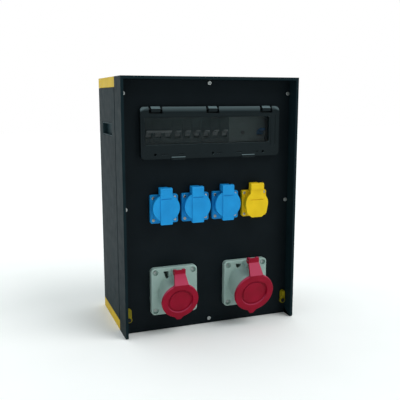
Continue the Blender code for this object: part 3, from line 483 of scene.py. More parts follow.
# %% Hood
WALL = 4.8
WEB_FRONT, WEB_BACK = 28.3, 33.0
WEB_HALF, WEB_LOW = SIDE - 4.0, 0.5
HOOD_DEEP = (HOOD_HIGH.y - HOOD_LOW.y) / MM
PANEL_FRONT = (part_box("front_panel")[0].y - HOOD_LOW.y) / MM
hood = cube("hood", HOOD_LOW, HOOD_HIGH)
pick(hood, "FACE", lambda spot, way: way.z < -STRAIGHT or abs(way.y) > STRAIGHT)
bpy.ops.mesh.delete(type="FACE")
leave()
apply(hood, "SOLIDIFY", thickness=WALL * MM, offset=-1.0, use_even_offset=True)
foot = at(0, 1.0, 0.1)


def front_foot(spot, way):
    """The two short edges at the cheeks' front lower corners."""
    return side_to_side(spot, way) and spot.z < foot.z and spot.y < foot.y


round_edges(hood, front_foot, 3.0, 5)
web = cube("web", at(-WEB_HALF, WEB_FRONT, WEB_LOW), at(WEB_HALF, WEB_BACK, HEIGHT - 4.0))
cut(web, cube("web_opening", at(-141.0, 20.0, 20.0), at(141.0, 60.0, 431.0)))
sill = cube("sill", at(-WEB_HALF, WEB_FRONT, WEB_LOW), at(WEB_HALF, HOOD_DEEP, 18.0))
weld(hood, web, sill)
settle(hood, case_plastic, "case", "grey_green", "front_hood", edge=1.1, steps=3)

# %% [markdown]
# ## The rear shell and its grips
#
# Behind the hood the shell wraps round the sides and the back. Each side has a hand hole with a cup behind
# it, so that the box can be carried. The shell is a box without its front, top and bottom. Its two rear
# edges are rounded first, and the wall is then thickened inward, so inside and outside stay parallel. A
# shallow groove along its front edge keeps the joint with the hood tidy and draws a dark line there.

# %% Rear shell
SHELL_WALL = 3.8
CORNER = 6.0
GROOVE_DEEP, GROOVE_END = 2.2, 51.4
GRIP_FRONT, GRIP_BACK, GRIP_LOW, GRIP_HIGH = 72.0, 158.0, 347.0, 371.0
shell = cube("shell", SHELL_LOW, SHELL_HIGH)
pick(shell, "FACE", lambda spot, way: abs(way.z) > STRAIGHT or way.y < -STRAIGHT)
bpy.ops.mesh.delete(type="FACE")
leave()
round_edges(shell, lambda spot, way: abs(way.z) > STRAIGHT and spot.y > SHELL_HIGH.y - MM, CORNER, 6)
apply(shell, "SOLIDIFY", thickness=SHELL_WALL * MM, offset=-1.0, use_even_offset=True)
for side in (-1, 1):
    inner, outer = sorted((side * (SIDE - GROOVE_DEEP), side * (SIDE + 3.0)))
    cut(shell, cube("shadow_groove", at(inner, 45.0, 0.0), at(outer, GROOVE_END, HEIGHT)))
for side in (-1, 1):
    within = at(side * (SIDE - 9.0), GRIP_FRONT, GRIP_LOW)
    cut(shell, cube("hand_hole", within, at(side * (SIDE + 5.0), GRIP_BACK, GRIP_HIGH)))
settle(shell, case_plastic, "case", "grey_green", "rear_shell", edge=1.1, steps=3)


# %% [markdown]
# The cup is a shallow tray that keeps fingers away from the wires. It is a box whose outer face is inset and
# pushed in, as a tray is pressed. A flange round it, inside the wall, takes the pull when the box is lifted.

# %% Grip cups
CUP_DEEP, CUP_WALL, CUP_RIM = 11.0, 2.4, 2.2
CUP_PLAY = 0.3


def grip_cup(name, side, node_name):
    """A cup behind a hand hole, with a flange inside the wall."""
    first = at(side * (SIDE - CUP_DEEP), GRIP_FRONT + CUP_PLAY, GRIP_LOW + CUP_PLAY)
    last = at(side * (SIDE - 0.2), GRIP_BACK - CUP_PLAY, GRIP_HIGH - CUP_PLAY)
    cup = cube(name, first, last)
    round_edges(cup, side_to_side, 3.0, 4)
    pick(cup, "FACE", lambda spot, way: way.x * side > STRAIGHT)
    bpy.ops.mesh.inset(thickness=CUP_RIM * MM)
    draw_out(-side * (CUP_DEEP - CUP_WALL), 0.0, 0.0)
    leave()
    inner, outer = sorted((side * (SIDE - 6.1), side * (SIDE - 4.1)))
    plates = []
    for part, past, wider in (("flange", 0.0, 4.0), ("room", 9.0, -2.0)):
        near = at(inner - past, GRIP_FRONT - wider, GRIP_LOW - wider)
        plates.append(cube(part, near, at(outer + past, GRIP_BACK + wider, GRIP_HIGH + wider)))
    weld(cup, cut(*plates))
    return settle(cup, lit_grip_plastic, "case", "grey_green", node_name, edge=0.5)


grip_cup("left_grip", -1, "grip_cup_left")
grip_cup("right_grip", 1, "grip_cup_right")

# %% [markdown]
# ## The yellow end caps
#
# A tray closes the shell at the top and another one at the bottom. The yellow shows where the box ends in a
# dark store. Each is a box with rounded rear edges. The face that looks into the case is inset and pushed
# in, and a lip is drawn out of what is left, so that it stands inside the shell's walls.

# %% End caps
CAP_HIGH, CAP_EDGE = 17.5, 4.1
LIP_HIGH, LIP_WALL, TRAY_DEEP = 6.9, 2.2, 20.0


def end_cap(name, node_name, low, high, inward):
    """A shallow tray whose open side looks inward, with a lip that stands inside the shell."""
    cap = cube(name, at(-SIDE, HOOD_DEEP + 0.3, low), at(SIDE, BACK, high))
    round_edges(cap, lambda spot, way: abs(way.z) > STRAIGHT and spot.y > SHELL_HIGH.y - MM, CORNER, 6)
    pick(cap, "FACE", lambda spot, way: way.z * inward > STRAIGHT)
    bpy.ops.mesh.inset(thickness=CAP_EDGE * MM)
    draw_out(0.0, 0.0, inward * LIP_HIGH)
    bpy.ops.mesh.inset(thickness=LIP_WALL * MM)
    draw_out(0.0, 0.0, -inward * TRAY_DEEP)
    leave()
    return settle(cap, cap_plastic, "case", "cap_yellow", node_name, edge=0.9, steps=3)


end_cap("bottom_cap", "cap_bottom", 0.0, CAP_HIGH, 1)
end_cap("top_cap", "cap_top", HEIGHT - CAP_HIGH, HEIGHT, -1)

# %% [markdown]
# ## The panel
#
# The panel is a 3 mm sheet with one window and six round holes. Here the cuts are made from the other
# pieces' own boxes, so the holes sit exactly behind them.

# %% Panel
SOCKET_Z, CEE_Z = 223.8, 75.0  # the heights of the two rows of sockets
BLUE_SOCKETS = ("blue_socket_1", "blue_socket_2", "blue_socket_3")
HOLES = [(name, SOCKET_Z, 21.8) for name in (*BLUE_SOCKETS, "yellow_socket")]
HOLES += [("small_cee_socket", CEE_Z, 33.5), ("large_cee_socket", CEE_Z, 37.0)]
panel_low, panel_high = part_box("front_panel")
panel = cube("panel", panel_low, panel_high)
cut(panel, cube("window_hole", at(-121.5, 20.0, 331.9), at(121.5, 33.0, 384.1)))
for name, z, radius in HOLES:
    cut(panel, drum("hole", at(middle_of(name)[0], 26.5, z), (0, 1, 0), radius, 10.0))
settle(panel, panel_sheet, "case", "black_panel", "front_panel", edge=0.3)

# %% [markdown]
# ## Screws
#
# Cap screws hold the panel, small pan-head screws hold the socket flanges. Each kind is turned once and
# copied: a bar whose end is rounded, with a hexagon or a cross driven into it. The copies are placed before
# the first screw is finished, so that each is finished once and by itself.

# %% One cap screw, copied
SHANK_END = 39.0


def cap_screw(name, x, z, face):
    """A cap screw whose head stands on a face: a turned head with a hexagon socket and a shank."""
    head = drum(name, at(x, face - 1.0, z), (0, -1, 0), 3.6, 2.0, 40)
    pick(head, "EDGE", lambda spot, way: spot.y < at(0, face - 1.9, 0).y)
    bpy.ops.mesh.bevel(offset=0.7 * MM, segments=4, affect="EDGES")
    leave()
    length = SHANK_END - face
    weld(head, drum("shank", at(x, face - 1.0 + length / 2, z), (0, 1, 0), 2.0, length, 20))
    cut(head, drum("hexagon", at(x, face - 2.0, z), (0, 1, 0), 1.75, 2.6, 6))
    return head


screw_face = PANEL_FRONT - 0.3
first_x, first_z = middle_of("panel_screw_top")
first_screw = cap_screw("cap_screw_top", first_x, first_z, screw_face)
for place_name in ("upper_left", "upper_right", "middle_left", "middle_right", "bottom"):
    node_name = "panel_screw_" + place_name
    x, z = middle_of(node_name)
    made = copy_of(first_screw, "cap_screw_" + place_name, at(x, 0, z) - at(first_x, 0, first_z))
    settle(made, zinc, "case", "steel", node_name, edge=0.15)
settle(first_screw, zinc, "case", "steel", "panel_screw_top", edge=0.15)


# %% [markdown]
# The flange screws are smaller and have a cross. Their domed heads sink into seats in the flanges. They are
# kept in a list until every flange has its four, and are finished together.

# %% One flange screw, copied
waiting = []
CROSS_HALF = 0.35


def pan_screw(name, x, depth, z, radius):
    """A pan-head screw: a bar with a domed end and a cross cut into it."""
    screw = drum(name, at(x, depth + 0.9, z), (0, -1, 0), radius, 3.0, 28)
    pick(screw, "EDGE", lambda spot, way: spot.y < at(0, depth - 0.5, 0).y)
    bpy.ops.mesh.bevel(offset=0.9 * MM, segments=4, affect="EDGES")
    leave()
    arm = radius * 0.62
    for wide, high in ((CROSS_HALF, arm), (arm, CROSS_HALF)):
        blade = cube("cross", at(x - wide, depth - 1.0, z - high), at(x + wide, depth + 0.3, z + high))
        cut(screw, blade)
    return screw


def flange_screws(stem, x, z, depth, across, upward, radius, metal):
    """Four screws in the corners of a flange, copied from one."""
    first = None
    for right in (-1, 1):
        for high in (-1, 1):
            name = f"{stem}_screw_{'right' if right > 0 else 'left'}_{'upper' if high > 0 else 'lower'}"
            spot = (x + right * across, z + high * upward)
            if first is None:
                start = spot
                first = pan_screw(name, spot[0], depth, spot[1], radius)
                made = first
            else:
                made = copy_of(first, name, at(spot[0], 0, spot[1]) - at(start[0], 0, start[1]))
            waiting.append((made, metal))


print("flange screws so far:", len(waiting))

# %% [markdown]
# ## Turn latches
#
# In each lower corner a yellow turn latch holds the panel: it swings about a cap screw, and its raised wing
# is what the thumb pushes. It is built from a round foot and a bar, welded together.

# %% Latches
LATCH_FRONT, LATCH_BACK = 20.4, 24.7
LATCH_MIDDLE, LATCH_THICK = 22.55, 4.3
LATCH_ROUND, LATCH_HALF = 5.6, 4.7


def turn_latch(name, end):
    """A latch that swings about its screw, and that screw."""
    node_name = "turn_latch_" + end
    screw_name = "latch_screw_" + end
    x, z = middle_of(screw_name)
    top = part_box(node_name)[1].z / MM
    foot = drum(name, at(x, LATCH_MIDDLE, z), (0, -1, 0), LATCH_ROUND, LATCH_THICK, 40)
    bar = cube("bar", at(x - LATCH_HALF, LATCH_FRONT, z), at(x + LATCH_HALF, LATCH_BACK, top - LATCH_HALF))
    end_place = at(x, LATCH_MIDDLE, top - LATCH_HALF)
    end_round = drum("end_round", end_place, (0, -1, 0), LATCH_HALF, LATCH_THICK, 40)
    wing = cube("wing", at(x - 3.1, 17.6, z + 7.5), at(x + 3.1, 21.4, top - 1.8))
    round_edges(wing, front_to_back, 2.2, 4)
    pick(wing, "FACE", to_front)
    bpy.ops.mesh.inset(thickness=1.0 * MM)
    draw_out(0.0, 0.9, 0.0)
    leave()
    weld(foot, bar, end_round, wing)
    seat = drum("seat", at(x, LATCH_FRONT, z), (0, 1, 0), 4.4, 0.5, 32)
    bore = drum("bore", at(x, 22.0, z), (0, 1, 0), 2.4, 20.0, 24)
    cut(foot, bore, seat)
    settle(foot, shaded_latch_plastic, "latch_" + end, "socket_yellow", node_name, edge=0.35)
    move = at(x, 20.1, z) - at(first_x, screw_face, first_z)
    screw = copy_of(first_screw, "latch_cap_screw_" + end, move)
    settle(screw, dark_steel, "case", "steel", screw_name, edge=0)


turn_latch("left_latch", "left")
turn_latch("right_latch", "right")

# %% [markdown]
# ## The window frame
#
# The fixed half of the window is a dark ring on the panel. A tunnel runs back from it to the breakers, and
# three knuckles on its top carry the hinge pin. Tunnel and ring are one moulding, so they are welded.

# %% Window frame
KNUCKLES = (-100.3, 3.0, 106.3)
KNUCKLE_HALF, KNUCKLE_TOP = 8.0, 400.0
COVER_X = 2.6
HINGE_DEPTH = 18.0
HINGE_Z = 396.0
base = cube("window_base", at(-125.8, 22.0, 312.5), at(131.0, 24.7, 386.0))
round_edges(base, front_to_back, 5.0, 6)
weld(base, cube("tunnel", at(-121.2, 22.4, 332.2), at(121.2, 45.5, 383.8)))
for x in KNUCKLES:
    left, right = x - KNUCKLE_HALF, x + KNUCKLE_HALF
    plate = cube("plate", at(left, 22.0, 384.0), at(right, 24.7, KNUCKLE_TOP))
    post = cube("post", at(left, 13.6, 391.0), at(right, 24.1, KNUCKLE_TOP))
    slice_off(post, at(0.0, 13.6, 396.2), Vector((0.0, -0.64, 0.77)))
    weld(base, plate, post)
cut(base, cube("mouth", at(-119.4, 15.0, 334.0), at(119.4, 55.0, 382.0)))
cut(base, drum("pin_bore", at(COVER_X, HINGE_DEPTH, HINGE_Z), (1, 0, 0), 1.5, 262.0, 20))
settle(base, frame_plastic, "case", "dark_grey", "window_frame", edge=0.4)

# %% [markdown]
# ## The window cover
#
# The cover swings up on the knuckles. It is a shallow tray with rounded corners, and its top edge slopes
# back, which throws rain off. Two thumb lips stand out under it, and its lower band has holes for a lock
# and slots where the moulding's ribs end. Thin upright grooves are cut into its front beside the light.

# %% Window cover
LIGHT_LEFT, LIGHT_RIGHT = -120.0, 112.0
RAISED_LINES = (-123.4, 115.2, 124.2)
THUMB_LIPS, THUMB_HALF = (-61.0, 71.0), 12.5
LOCK_HOLES = (-102.0, 3.4, 100.4)
RIB_SLOTS = ((-85.0, 5.5), (-55.0, 4.5), (15.0, 4.5), (52.6, 5.5), (86.2, 4.5))
cover = cube("window_lid", at(-127.1, 14.0, 311.0), at(132.3, 21.6, 399.5))
round_edges(cover, front_to_back, 7.0, 8)
slice_off(cover, at(0.0, 13.5, 387.5), Vector((0.0, -0.952, 0.306)))
cut(cover, cube("hollow", at(-124.7, 16.4, 313.4), at(129.9, 30.0, 390.0)))
light = cube("light", at(LIGHT_LEFT, 10.0, 335.5), at(LIGHT_RIGHT, 30.0, 381.5))
round_edges(light, front_to_back, 2.0, 4)
cut(cover, light)
for x in KNUCKLES:
    cut(cover, cube("knuckle_room", at(x - 12.0, 5.0, 388.0), at(x + 12.0, 30.0, 405.0)))
for x in RAISED_LINES:
    cut(cover, cube("upright_line", at(x - 0.5, 13.0, 330.0), at(x + 0.5, 14.6, 384.0)))
for x in THUMB_LIPS:
    lip = cube("thumb_lip", at(x - THUMB_HALF, 12.4, 309.0), at(x + THUMB_HALF, 19.6, 314.4))
    round_edges(lip, side_to_side, 1.2, 3)
    round_edges(lip, lambda spot, way: front_to_back(spot, way) and spot.z < at(0, 0, 310).z, 1.5, 3)
    weld(cover, lip)
for x in LOCK_HOLES:
    cut(cover, drum("lock_hole", at(x, 15.0, 318.6), (0, 1, 0), 2.3, 8.0, 24))
for x, half in RIB_SLOTS:
    cut(cover, cube("rib_slot", at(x - half, 13.0, 318.0), at(x + half, 15.2, 320.2)))
cut(cover, drum("pin_bore", at(COVER_X, HINGE_DEPTH, HINGE_Z), (1, 0, 0), 1.5, 253.0, 20))
settle(cover, frame_plastic, "window_cover_body", "dark_grey", "window_cover", edge=0.45)

# %% [markdown]
# The pane is a smoked sheet behind the light. A groove runs round it where it clips into the cover, so it
# is a plate with a shallow step, which also gives the edge a thin bright line. The hinge pin is drawn wire
# with rounded ends.

# %% Pane and hinge pin
pane_low, pane_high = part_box("window_pane")
pane = cube("pane", pane_low, pane_high)
round_edges(pane, front_to_back, 2.0, 4)
pick(pane, "FACE", to_front)
bpy.ops.mesh.inset(thickness=2.4 * MM)
draw_out(0.0, -0.25, 0.0)
leave()
settle(pane, smoked, "window_cover_body", "smoke", "window_pane", edge=0.2)
window_pin = drum("window_pin", at(COVER_X, HINGE_DEPTH, HINGE_Z), (1, 0, 0), 1.2, 252.0, 20)
settle(window_pin, dark_steel, "case", "steel", "window_hinge_pin", edge=0.4)

# %% [markdown]
# ## The breakers
#
# Breakers are modules 17.8 mm wide that clip to a rail. The rail is a folded strip 35 mm high whose two
# edges step forward, and an arm at each end brings it to the web behind the panel. It is built from plates
# that overlap a little, because plates that only touch do not weld.

# %% Rail
MODULE = 17.8
ROW_LEFT = -6.5 * MODULE
ROW_Z = 358.0
RAIL_HALF, RAIL_FOLD, RAIL_EDGE = 130.0, 12.5, 17.5
ARM_INNER, ARM_HALF, FOOT_OUTER = 127.0, 14.0, 138.0
rail = cube("rail", at(-RAIL_HALF, 91.0, ROW_Z - RAIL_EDGE), at(RAIL_HALF, 92.2, ROW_Z + RAIL_EDGE))
for high in (-1, 1):
    fold_z = ROW_Z + high * RAIL_FOLD
    lip_low, lip_high = sorted((fold_z, ROW_Z + high * RAIL_EDGE))
    weld(rail, cube("rail_lip", at(-RAIL_HALF, 92.8, lip_low), at(RAIL_HALF, 94.0, lip_high)))
    weld(rail, cube("rail_step", at(-RAIL_HALF, 91.6, fold_z - 0.6), at(RAIL_HALF, 93.4, fold_z + 0.6)))
for side in (-1, 1):
    for part, end, back in (("rail_arm", RAIL_HALF, 93.0), ("rail_foot", FOOT_OUTER, 30.8)):
        inner, outer = sorted((side * ARM_INNER, side * end))
        weld(rail, cube(part, at(inner, WEB_FRONT, ROW_Z - ARM_HALF), at(outer, back, ROW_Z + ARM_HALF)))
settle(rail, zinc, "case", "steel", "din_rail", edge=0.3)

# %% [markdown]
# Each breaker has a nose that fills the window, shoulders with wells for terminal screws behind the panel,
# and a slot for its lever. One single body is made and copied along the row. The main breaker and the
# residual-current breaker are the same shape, three and four modules wide.

# %% Breaker bodies
PLAY = 0.15
BODY_FRONT, BODY_BACK, BODY_HALF = 47.0, 97.0, 42.5
NOSE_FRONT, NOSE_HALF = 40.0, 22.3
LEVER_SLOT = 5.2


def slot_x(slot):
    """The middle of a module, counted from the left."""
    return ROW_LEFT + (slot + 0.5) * MODULE


def breaker_body(name, first, count, levers):
    """A body some modules wide: block, nose with a label recess over each lever, and terminal screw wells."""
    left = ROW_LEFT + first * MODULE + PLAY
    right = ROW_LEFT + (first + count) * MODULE - PLAY
    body = cube(name, at(left, BODY_FRONT, ROW_Z - BODY_HALF), at(right, BODY_BACK, ROW_Z + BODY_HALF))
    weld(body, cube("nose", at(left, NOSE_FRONT, ROW_Z - NOSE_HALF), at(right, 49.0, ROW_Z + NOSE_HALF)))
    notch = cube("notch", at(left - 5.0, 90.7, ROW_Z - 17.8), at(right + 5.0, 102.0, ROW_Z + 17.8))
    cut(body, notch)
    for slot, half in levers:
        x = slot_x(slot)
        cut(body, cube("lever_slot", at(x - half, 35.0, 344.4), at(x + half, 49.5, 357.6)))
        cut(body, cube("label", at(x - 7.0, 39.0, 364.0), at(x + 7.0, 40.5, 376.0)))
    for slot in range(first, first + count):
        for high in (-1, 1):
            place = at(slot_x(slot), 49.0, ROW_Z + high * 33.0)
            cut(body, drum("terminal_well", place, (0, 1, 0), 3.2, 8.0, 24))
    return body


main_body = breaker_body("main_breaker_body", 0, 3, [(slot, LEVER_SLOT) for slot in range(3)])
settle(main_body, breaker_plastic, "case", "module_grey", "main_breaker", edge=0.4)
single = breaker_body("breaker_body_1", 3, 1, [(3, LEVER_SLOT)])
for number in range(2, 7):
    made = copy_of(single, f"breaker_body_{number}", Vector(((number - 1) * MODULE * MM, 0.0, 0.0)))
    settle(made, breaker_plastic, "case", "module_grey", f"breaker_{number}", edge=0.4)
settle(single, breaker_plastic, "case", "module_grey", "breaker_1", edge=0.4)
rcd_body = breaker_body("residual_current_body", 9, 4, [(12, 6.8)])
button_x, button_z = middle_of("test_button")
cut(rcd_body, drum("button_hole", at(button_x, 42.0, button_z), (0, 1, 0), 3.8, 12.0, 32))
settle(rcd_body, residual_plastic, "case", "module_grey", "residual_current_breaker", edge=0.4)

# %% [markdown]
# A lever is a round hub with a tapered finger that stands up and forward. The finger starts as a box, and
# its far face is made thinner. Ribs across the tip stop the finger from slipping. The three levers of the
# main breaker are joined by a bar, so that they always switch together.

# %% Levers
LEAN = math.radians(26.0)
PIVOT = (45.0, 351.0)
FINGER_HALF = 1.8


def lever(name, x, half, reach):
    """A hub and a tapered finger, made upright and then leaned about the hub."""
    hub = drum(name, at(x, *PIVOT), (1, 0, 0), 4.0, 2 * half, 32)
    tip_low = at(x - half * 0.9, PIVOT[0] - reach, PIVOT[1] - FINGER_HALF)
    finger = cube("finger", tip_low, at(x + half * 0.9, PIVOT[0], PIVOT[1] + FINGER_HALF))
    pick(finger, "FACE", to_front)
    bpy.ops.transform.resize(value=(0.94, 1.0, 0.62), center_override=at(x, PIVOT[0] - reach, PIVOT[1]))
    leave()
    for back in (2.0, 4.0, 6.0):
        rib = drum("rib", at(x, PIVOT[0] - reach + back, PIVOT[1] + 1.15), (1, 0, 0), 0.55, 1.6 * half, 12)
        weld(finger, rib)
    finger.location = -at(x, *PIVOT)
    take(finger)
    bpy.ops.object.transform_apply(location=True, rotation=False, scale=False)
    finger.rotation_euler = (-LEAN, 0.0, 0.0)
    finger.location = at(x, *PIVOT)
    bpy.ops.object.transform_apply(location=True, rotation=True, scale=False)
    return weld(hub, finger)


single_lever = lever("lever_1", slot_x(3), 4.6, 14.0)
main_levers = None
for slot in range(3):
    made = copy_of(single_lever, "main_lever_part", Vector((slot_x(slot) - slot_x(3), 0.0, 0.0)) * MM)
    main_levers = made if main_levers is None else weld(main_levers, made)
main_levers.name = "main_lever_linked"
LINK_REACH = 12.5
link_place = at(slot_x(1), PIVOT[0] - LINK_REACH * math.cos(LEAN), PIVOT[1] + LINK_REACH * math.sin(LEAN))
weld(main_levers, drum("link", link_place, (1, 0, 0), 2.2, 2 * MODULE + 9.2, 24))
settle(main_levers, lever_plastic, "main_lever", "pale_grey", "main_breaker_toggle", edge=0.25)
for number in range(2, 7):
    made = copy_of(single_lever, f"lever_{number}_made", Vector(((number - 1) * MODULE * MM, 0.0, 0.0)))
    settle(made, lever_plastic, f"lever_{number}", "pale_grey", f"breaker_{number}_toggle", edge=0.25)
single_lever.name = "lever_1_made"
settle(single_lever, lever_plastic, "lever_1", "pale_grey", "breaker_1_toggle", edge=0.25)
wide_lever = lever("residual_lever", slot_x(12), 6.2, 17.0)
settle(wide_lever, lever_blue, "residual_current_lever", "blue", "residual_current_toggle", edge=0.3)

# %% [markdown]
# The test key stands beside the blue lever. It is a short bar with a shallow dish for the fingertip, made by
# an inset that is pushed in.

# %% Test key
button = drum("test_key", at(button_x, 42.0, button_z), (0, -1, 0), 3.4, 7.0, 32)
pick(button, "FACE", to_front)
bpy.ops.mesh.inset(thickness=0.9 * MM)
draw_out(0.0, 0.35, 0.0)
leave()
settle(button, button_plastic, "button", "pale_grey", "test_button", edge=0.3)

# %% [markdown]
# ## Domestic sockets
#
# Each socket is a square flange with a round collar, a deep well for the plug and a tongue at the top that
# carries the lid's pin. The flange is a box with rounded corners, and a step round its front comes from an
# inset. The collar and the well are turned, so they come from bars.

# %% Socket body
LID_PIN = (9.5, 256.0)
FLANGE_FRONT, FLANGE_BACK = 18.0, 24.7
COLLAR, WELL = 21.5, 18.5


def socket_body(name, x, collar_front, half):
    """A domestic socket whose square flange is twice a half width, with its collar, well, tongue and pin."""
    corner = at(x - half, FLANGE_FRONT, SOCKET_Z - half)
    flange = cube(name, corner, at(x + half, FLANGE_BACK, SOCKET_Z + half))
    round_edges(flange, front_to_back, 3.0, 5)
    pick(flange, "FACE", to_front)
    bpy.ops.mesh.inset(thickness=1.4 * MM)
    draw_out(0.0, 0.5, 0.0)
    leave()
    collar_place = at(x, (collar_front + 20.0) / 2, SOCKET_Z)
    collar = drum("collar", collar_place, (0, 1, 0), COLLAR, 20.0 - collar_front, 64)
    housing = drum("housing", at(x, 34.0, SOCKET_Z), (0, 1, 0), 20.2, 24.0, 64)
    plate = cube("plate", at(x - 8.0, 19.3, SOCKET_Z + half - 4.0), at(x + 8.0, FLANGE_BACK, 261.0))
    tongue = cube("tongue", at(x - 5.0, LID_PIN[0], LID_PIN[1] - 2.8), at(x + 5.0, 21.3, LID_PIN[1] + 2.8))
    eye = drum("eye", at(x, *LID_PIN), (1, 0, 0), 2.8, 10.0, 24)
    pin = drum("pin", at(x, *LID_PIN), (1, 0, 0), 1.4, 18.4, 20)
    weld(flange, collar, housing, plate, tongue, eye, pin)
    well_place = at(x, (collar_front + 33.0) / 2, SOCKET_Z)
    cut(flange, drum("well", well_place, (0, 1, 0), WELL, 43.0 - collar_front, 64))
    for side in (-1, 1):
        rail_x = x + side * 17.0
        guide = cube("guide", at(rail_x - 1.6, 14.0, SOCKET_Z - 2.2), at(rail_x + 1.6, 38.5, SOCKET_Z + 2.2))
        weld(flange, guide)
        cut(flange, drum("pin_hole", at(x + side * 9.5, 39.5, SOCKET_Z), (0, 1, 0), 2.6, 7.0, 24))
    return flange


# %% [markdown]
# The first blue socket is copied to the other two places. The yellow one is a little smaller and its collar
# ends 1.8 mm further back, so it is made by the same function with other sizes.

# %% Four sockets
first_blue = socket_body("blue_body_1", middle_of("blue_socket_1")[0], 8.0, 25.0)
for number in (2, 3):
    shift = (middle_of(f"blue_socket_{number}")[0] - middle_of("blue_socket_1")[0]) * MM
    made = copy_of(first_blue, f"blue_body_{number}", Vector((shift, 0.0, 0.0)))
    settle(made, blue_plastic, "case", "blue", f"blue_socket_{number}", edge=0.35)
settle(first_blue, blue_plastic, "case", "blue", "blue_socket_1", edge=0.35)
yellow_body = socket_body("yellow_body", middle_of("yellow_socket")[0], 9.8, 24.0)
settle(yellow_body, yellow_plastic, "case", "socket_yellow", "yellow_socket", edge=0.35)
for name in (*BLUE_SOCKETS, "yellow_socket"):
    metal = zinc if name == "yellow_socket" else yellow_zinc
    flange_screws(name, middle_of(name)[0], SOCKET_Z, 18.2, 19.5, 19.5, 2.6, metal)

# %% [markdown]
# ## Flap lids
#
# A blue lid is a disc with a strap down its middle. The strap runs over the hinge at the top, where it
# wraps round the pin, and ends in a square tab for the thumb. A thin line marks where the strap bends.
# Strap and disc overlap and are welded, and the hinge is cut out of the whole.

# %% Blue lids
HINGE_CUT_LOW = 252.2
HEAD_TOP, HEAD_BACK = 262.0, 14.0
BAND_HALF, BAND_LOW, BAND_FRONT = 10.7, 198.2, 2.2


def hinge_cuts(x, front):
    """What a lid's hinge block leaves free: the tongue's slot and the pin's bore."""
    slot = cube("slot", at(x - 5.3, front, HINGE_CUT_LOW), at(x + 5.3, 24.0, 267.0))
    bore = drum("bore", at(x, *LID_PIN), (1, 0, 0), 1.7, 19.0, 20)
    return slot, bore


def rounded_head(x, half, front, low):
    """The hinge block at the top of a lid, round over the pin."""
    head = cube("head", at(x - half, front, low), at(x + half, HEAD_BACK, HEAD_TOP))
    round_edges(head, lambda spot, way: side_to_side(spot, way) and spot.z > at(0, 0, HEAD_TOP - 1).z, 3.2, 6)
    return head


def blue_lid(name, x):
    """A disc with a strap that runs over the hinge."""
    strap = cube(name, at(x - BAND_HALF, BAND_FRONT, BAND_LOW), at(x + BAND_HALF, 7.5, 258.0))
    round_edges(strap, lambda spot, way: front_to_back(spot, way) and spot.z < at(0, 0, 202).z, 1.5, 4)
    disc = drum("disc", at(x, 5.4, 227.0), (0, 1, 0), 24.4, 4.2, 72)
    round_edges(disc, lambda spot, way: spot.y < at(0, 3.5, 0).y, 1.3, 4)
    head = rounded_head(x, BAND_HALF, BAND_FRONT, 250.0)
    weld(strap, disc, head)
    cut(strap, *hinge_cuts(x, 5.7))
    cut(strap, cube("bend_line", at(x - 9.2, 1.0, 242.6), at(x + 9.2, 3.2, 244.0)))
    return strap


first_lid = blue_lid("blue_flap_1", middle_of("blue_socket_1")[0])
for number in (2, 3):
    shift = (middle_of(f"blue_socket_{number}")[0] - middle_of("blue_socket_1")[0]) * MM
    made = copy_of(first_lid, f"blue_flap_{number}", Vector((shift, 0.0, 0.0)))
    settle(made, blue_plastic, f"blue_lid_{number}", "blue", f"blue_socket_{number}_lid", edge=0.5, steps=3)
settle(first_lid, blue_plastic, "blue_lid_1", "blue", "blue_socket_1_lid", edge=0.5, steps=3)

# %% [markdown]
# The yellow lid has no strap. Its disc is cut flat below, where a chin with sloping sides stands out for the
# finger, and a neck joins it to the hinge block. Chin and cheeks are boxes whose lower face is made
# narrower.

# %% Yellow lid
FLAP_FRONT, FLAP_MIDDLE, FLAP_BACK = 5.0, 7.1, 9.2
BLOCK_HALF = 12.6


def tapered(name, half, low, high, narrowing):
    """A plate of the yellow lid whose lower edge is narrower than its upper one."""
    plate = cube(name, at(x - half, FLAP_FRONT, low), at(x + half, FLAP_BACK, high))
    pick(plate, "FACE", to_floor)
    bpy.ops.transform.resize(value=(narrowing, 1.0, 1.0), center_override=at(x, FLAP_MIDDLE, low))
    leave()
    return plate


x = middle_of("yellow_socket")[0]
yellow_flap = drum("yellow_flap", at(x, FLAP_MIDDLE, 224.5), (0, 1, 0), 22.2, FLAP_BACK - FLAP_FRONT, 72)
slice_off(yellow_flap, at(x, FLAP_MIDDLE, 206.1), -UP)
cheeks = tapered("cheeks", 21.6, 206.0, 220.0, 0.88)
chin = tapered("chin", 19.0, 199.3, 206.2, 0.5)
neck = cube("neck", at(x - BLOCK_HALF, FLAP_FRONT, 234.5), at(x + BLOCK_HALF, FLAP_BACK, 258.0))
head = rounded_head(x, BLOCK_HALF, 3.4, 250.5)
weld(yellow_flap, cheeks, chin, neck, head)
cut(yellow_flap, *hinge_cuts(x, 5.7))
cut(yellow_flap, cube("finger_line", at(x - 12.2, 4.0, 231.0), at(x + 13.0, 6.2, 232.4)))
settle(yellow_flap, yellow_plastic, "yellow_lid", "socket_yellow", "yellow_socket_lid", edge=0.5, steps=3)

# %% [markdown]
# ## Industrial sockets
#
# The two large sockets take round industrial plugs, and their collars slope down so that a hanging cable
# pulls straight. The lid, the collar and the contact block share that sloped axis. They are made upright
# at the origin, along the sloped axis turned level, and are then tilted into place in one move.

# %% Sloped axis
TILT = math.radians(15.0)
# Widths are radii in millimetres. The face and the hinge are a depth and a height. The dish ends where the
# lid's rim begins, the tab reaches below the disc, and the carrier is the block of contacts.
SMALL = dict(face=(-19.0, 65.0), lid=33.2, dish=23.4, tab=37.6, hinge=(-12.5, 116.3), knuckle=5.4)
SMALL.update(collar=30.5, housing=33.0, carrier=21.0)
LARGE = dict(face=(-25.0, 65.5), lid=37.4, dish=25.6, tab=43.2, hinge=(-15.5, 124.7), knuckle=5.8)
LARGE.update(collar=34.5, housing=36.5, carrier=24.5)
CEE = {"small_cee": SMALL, "large_cee": LARGE}


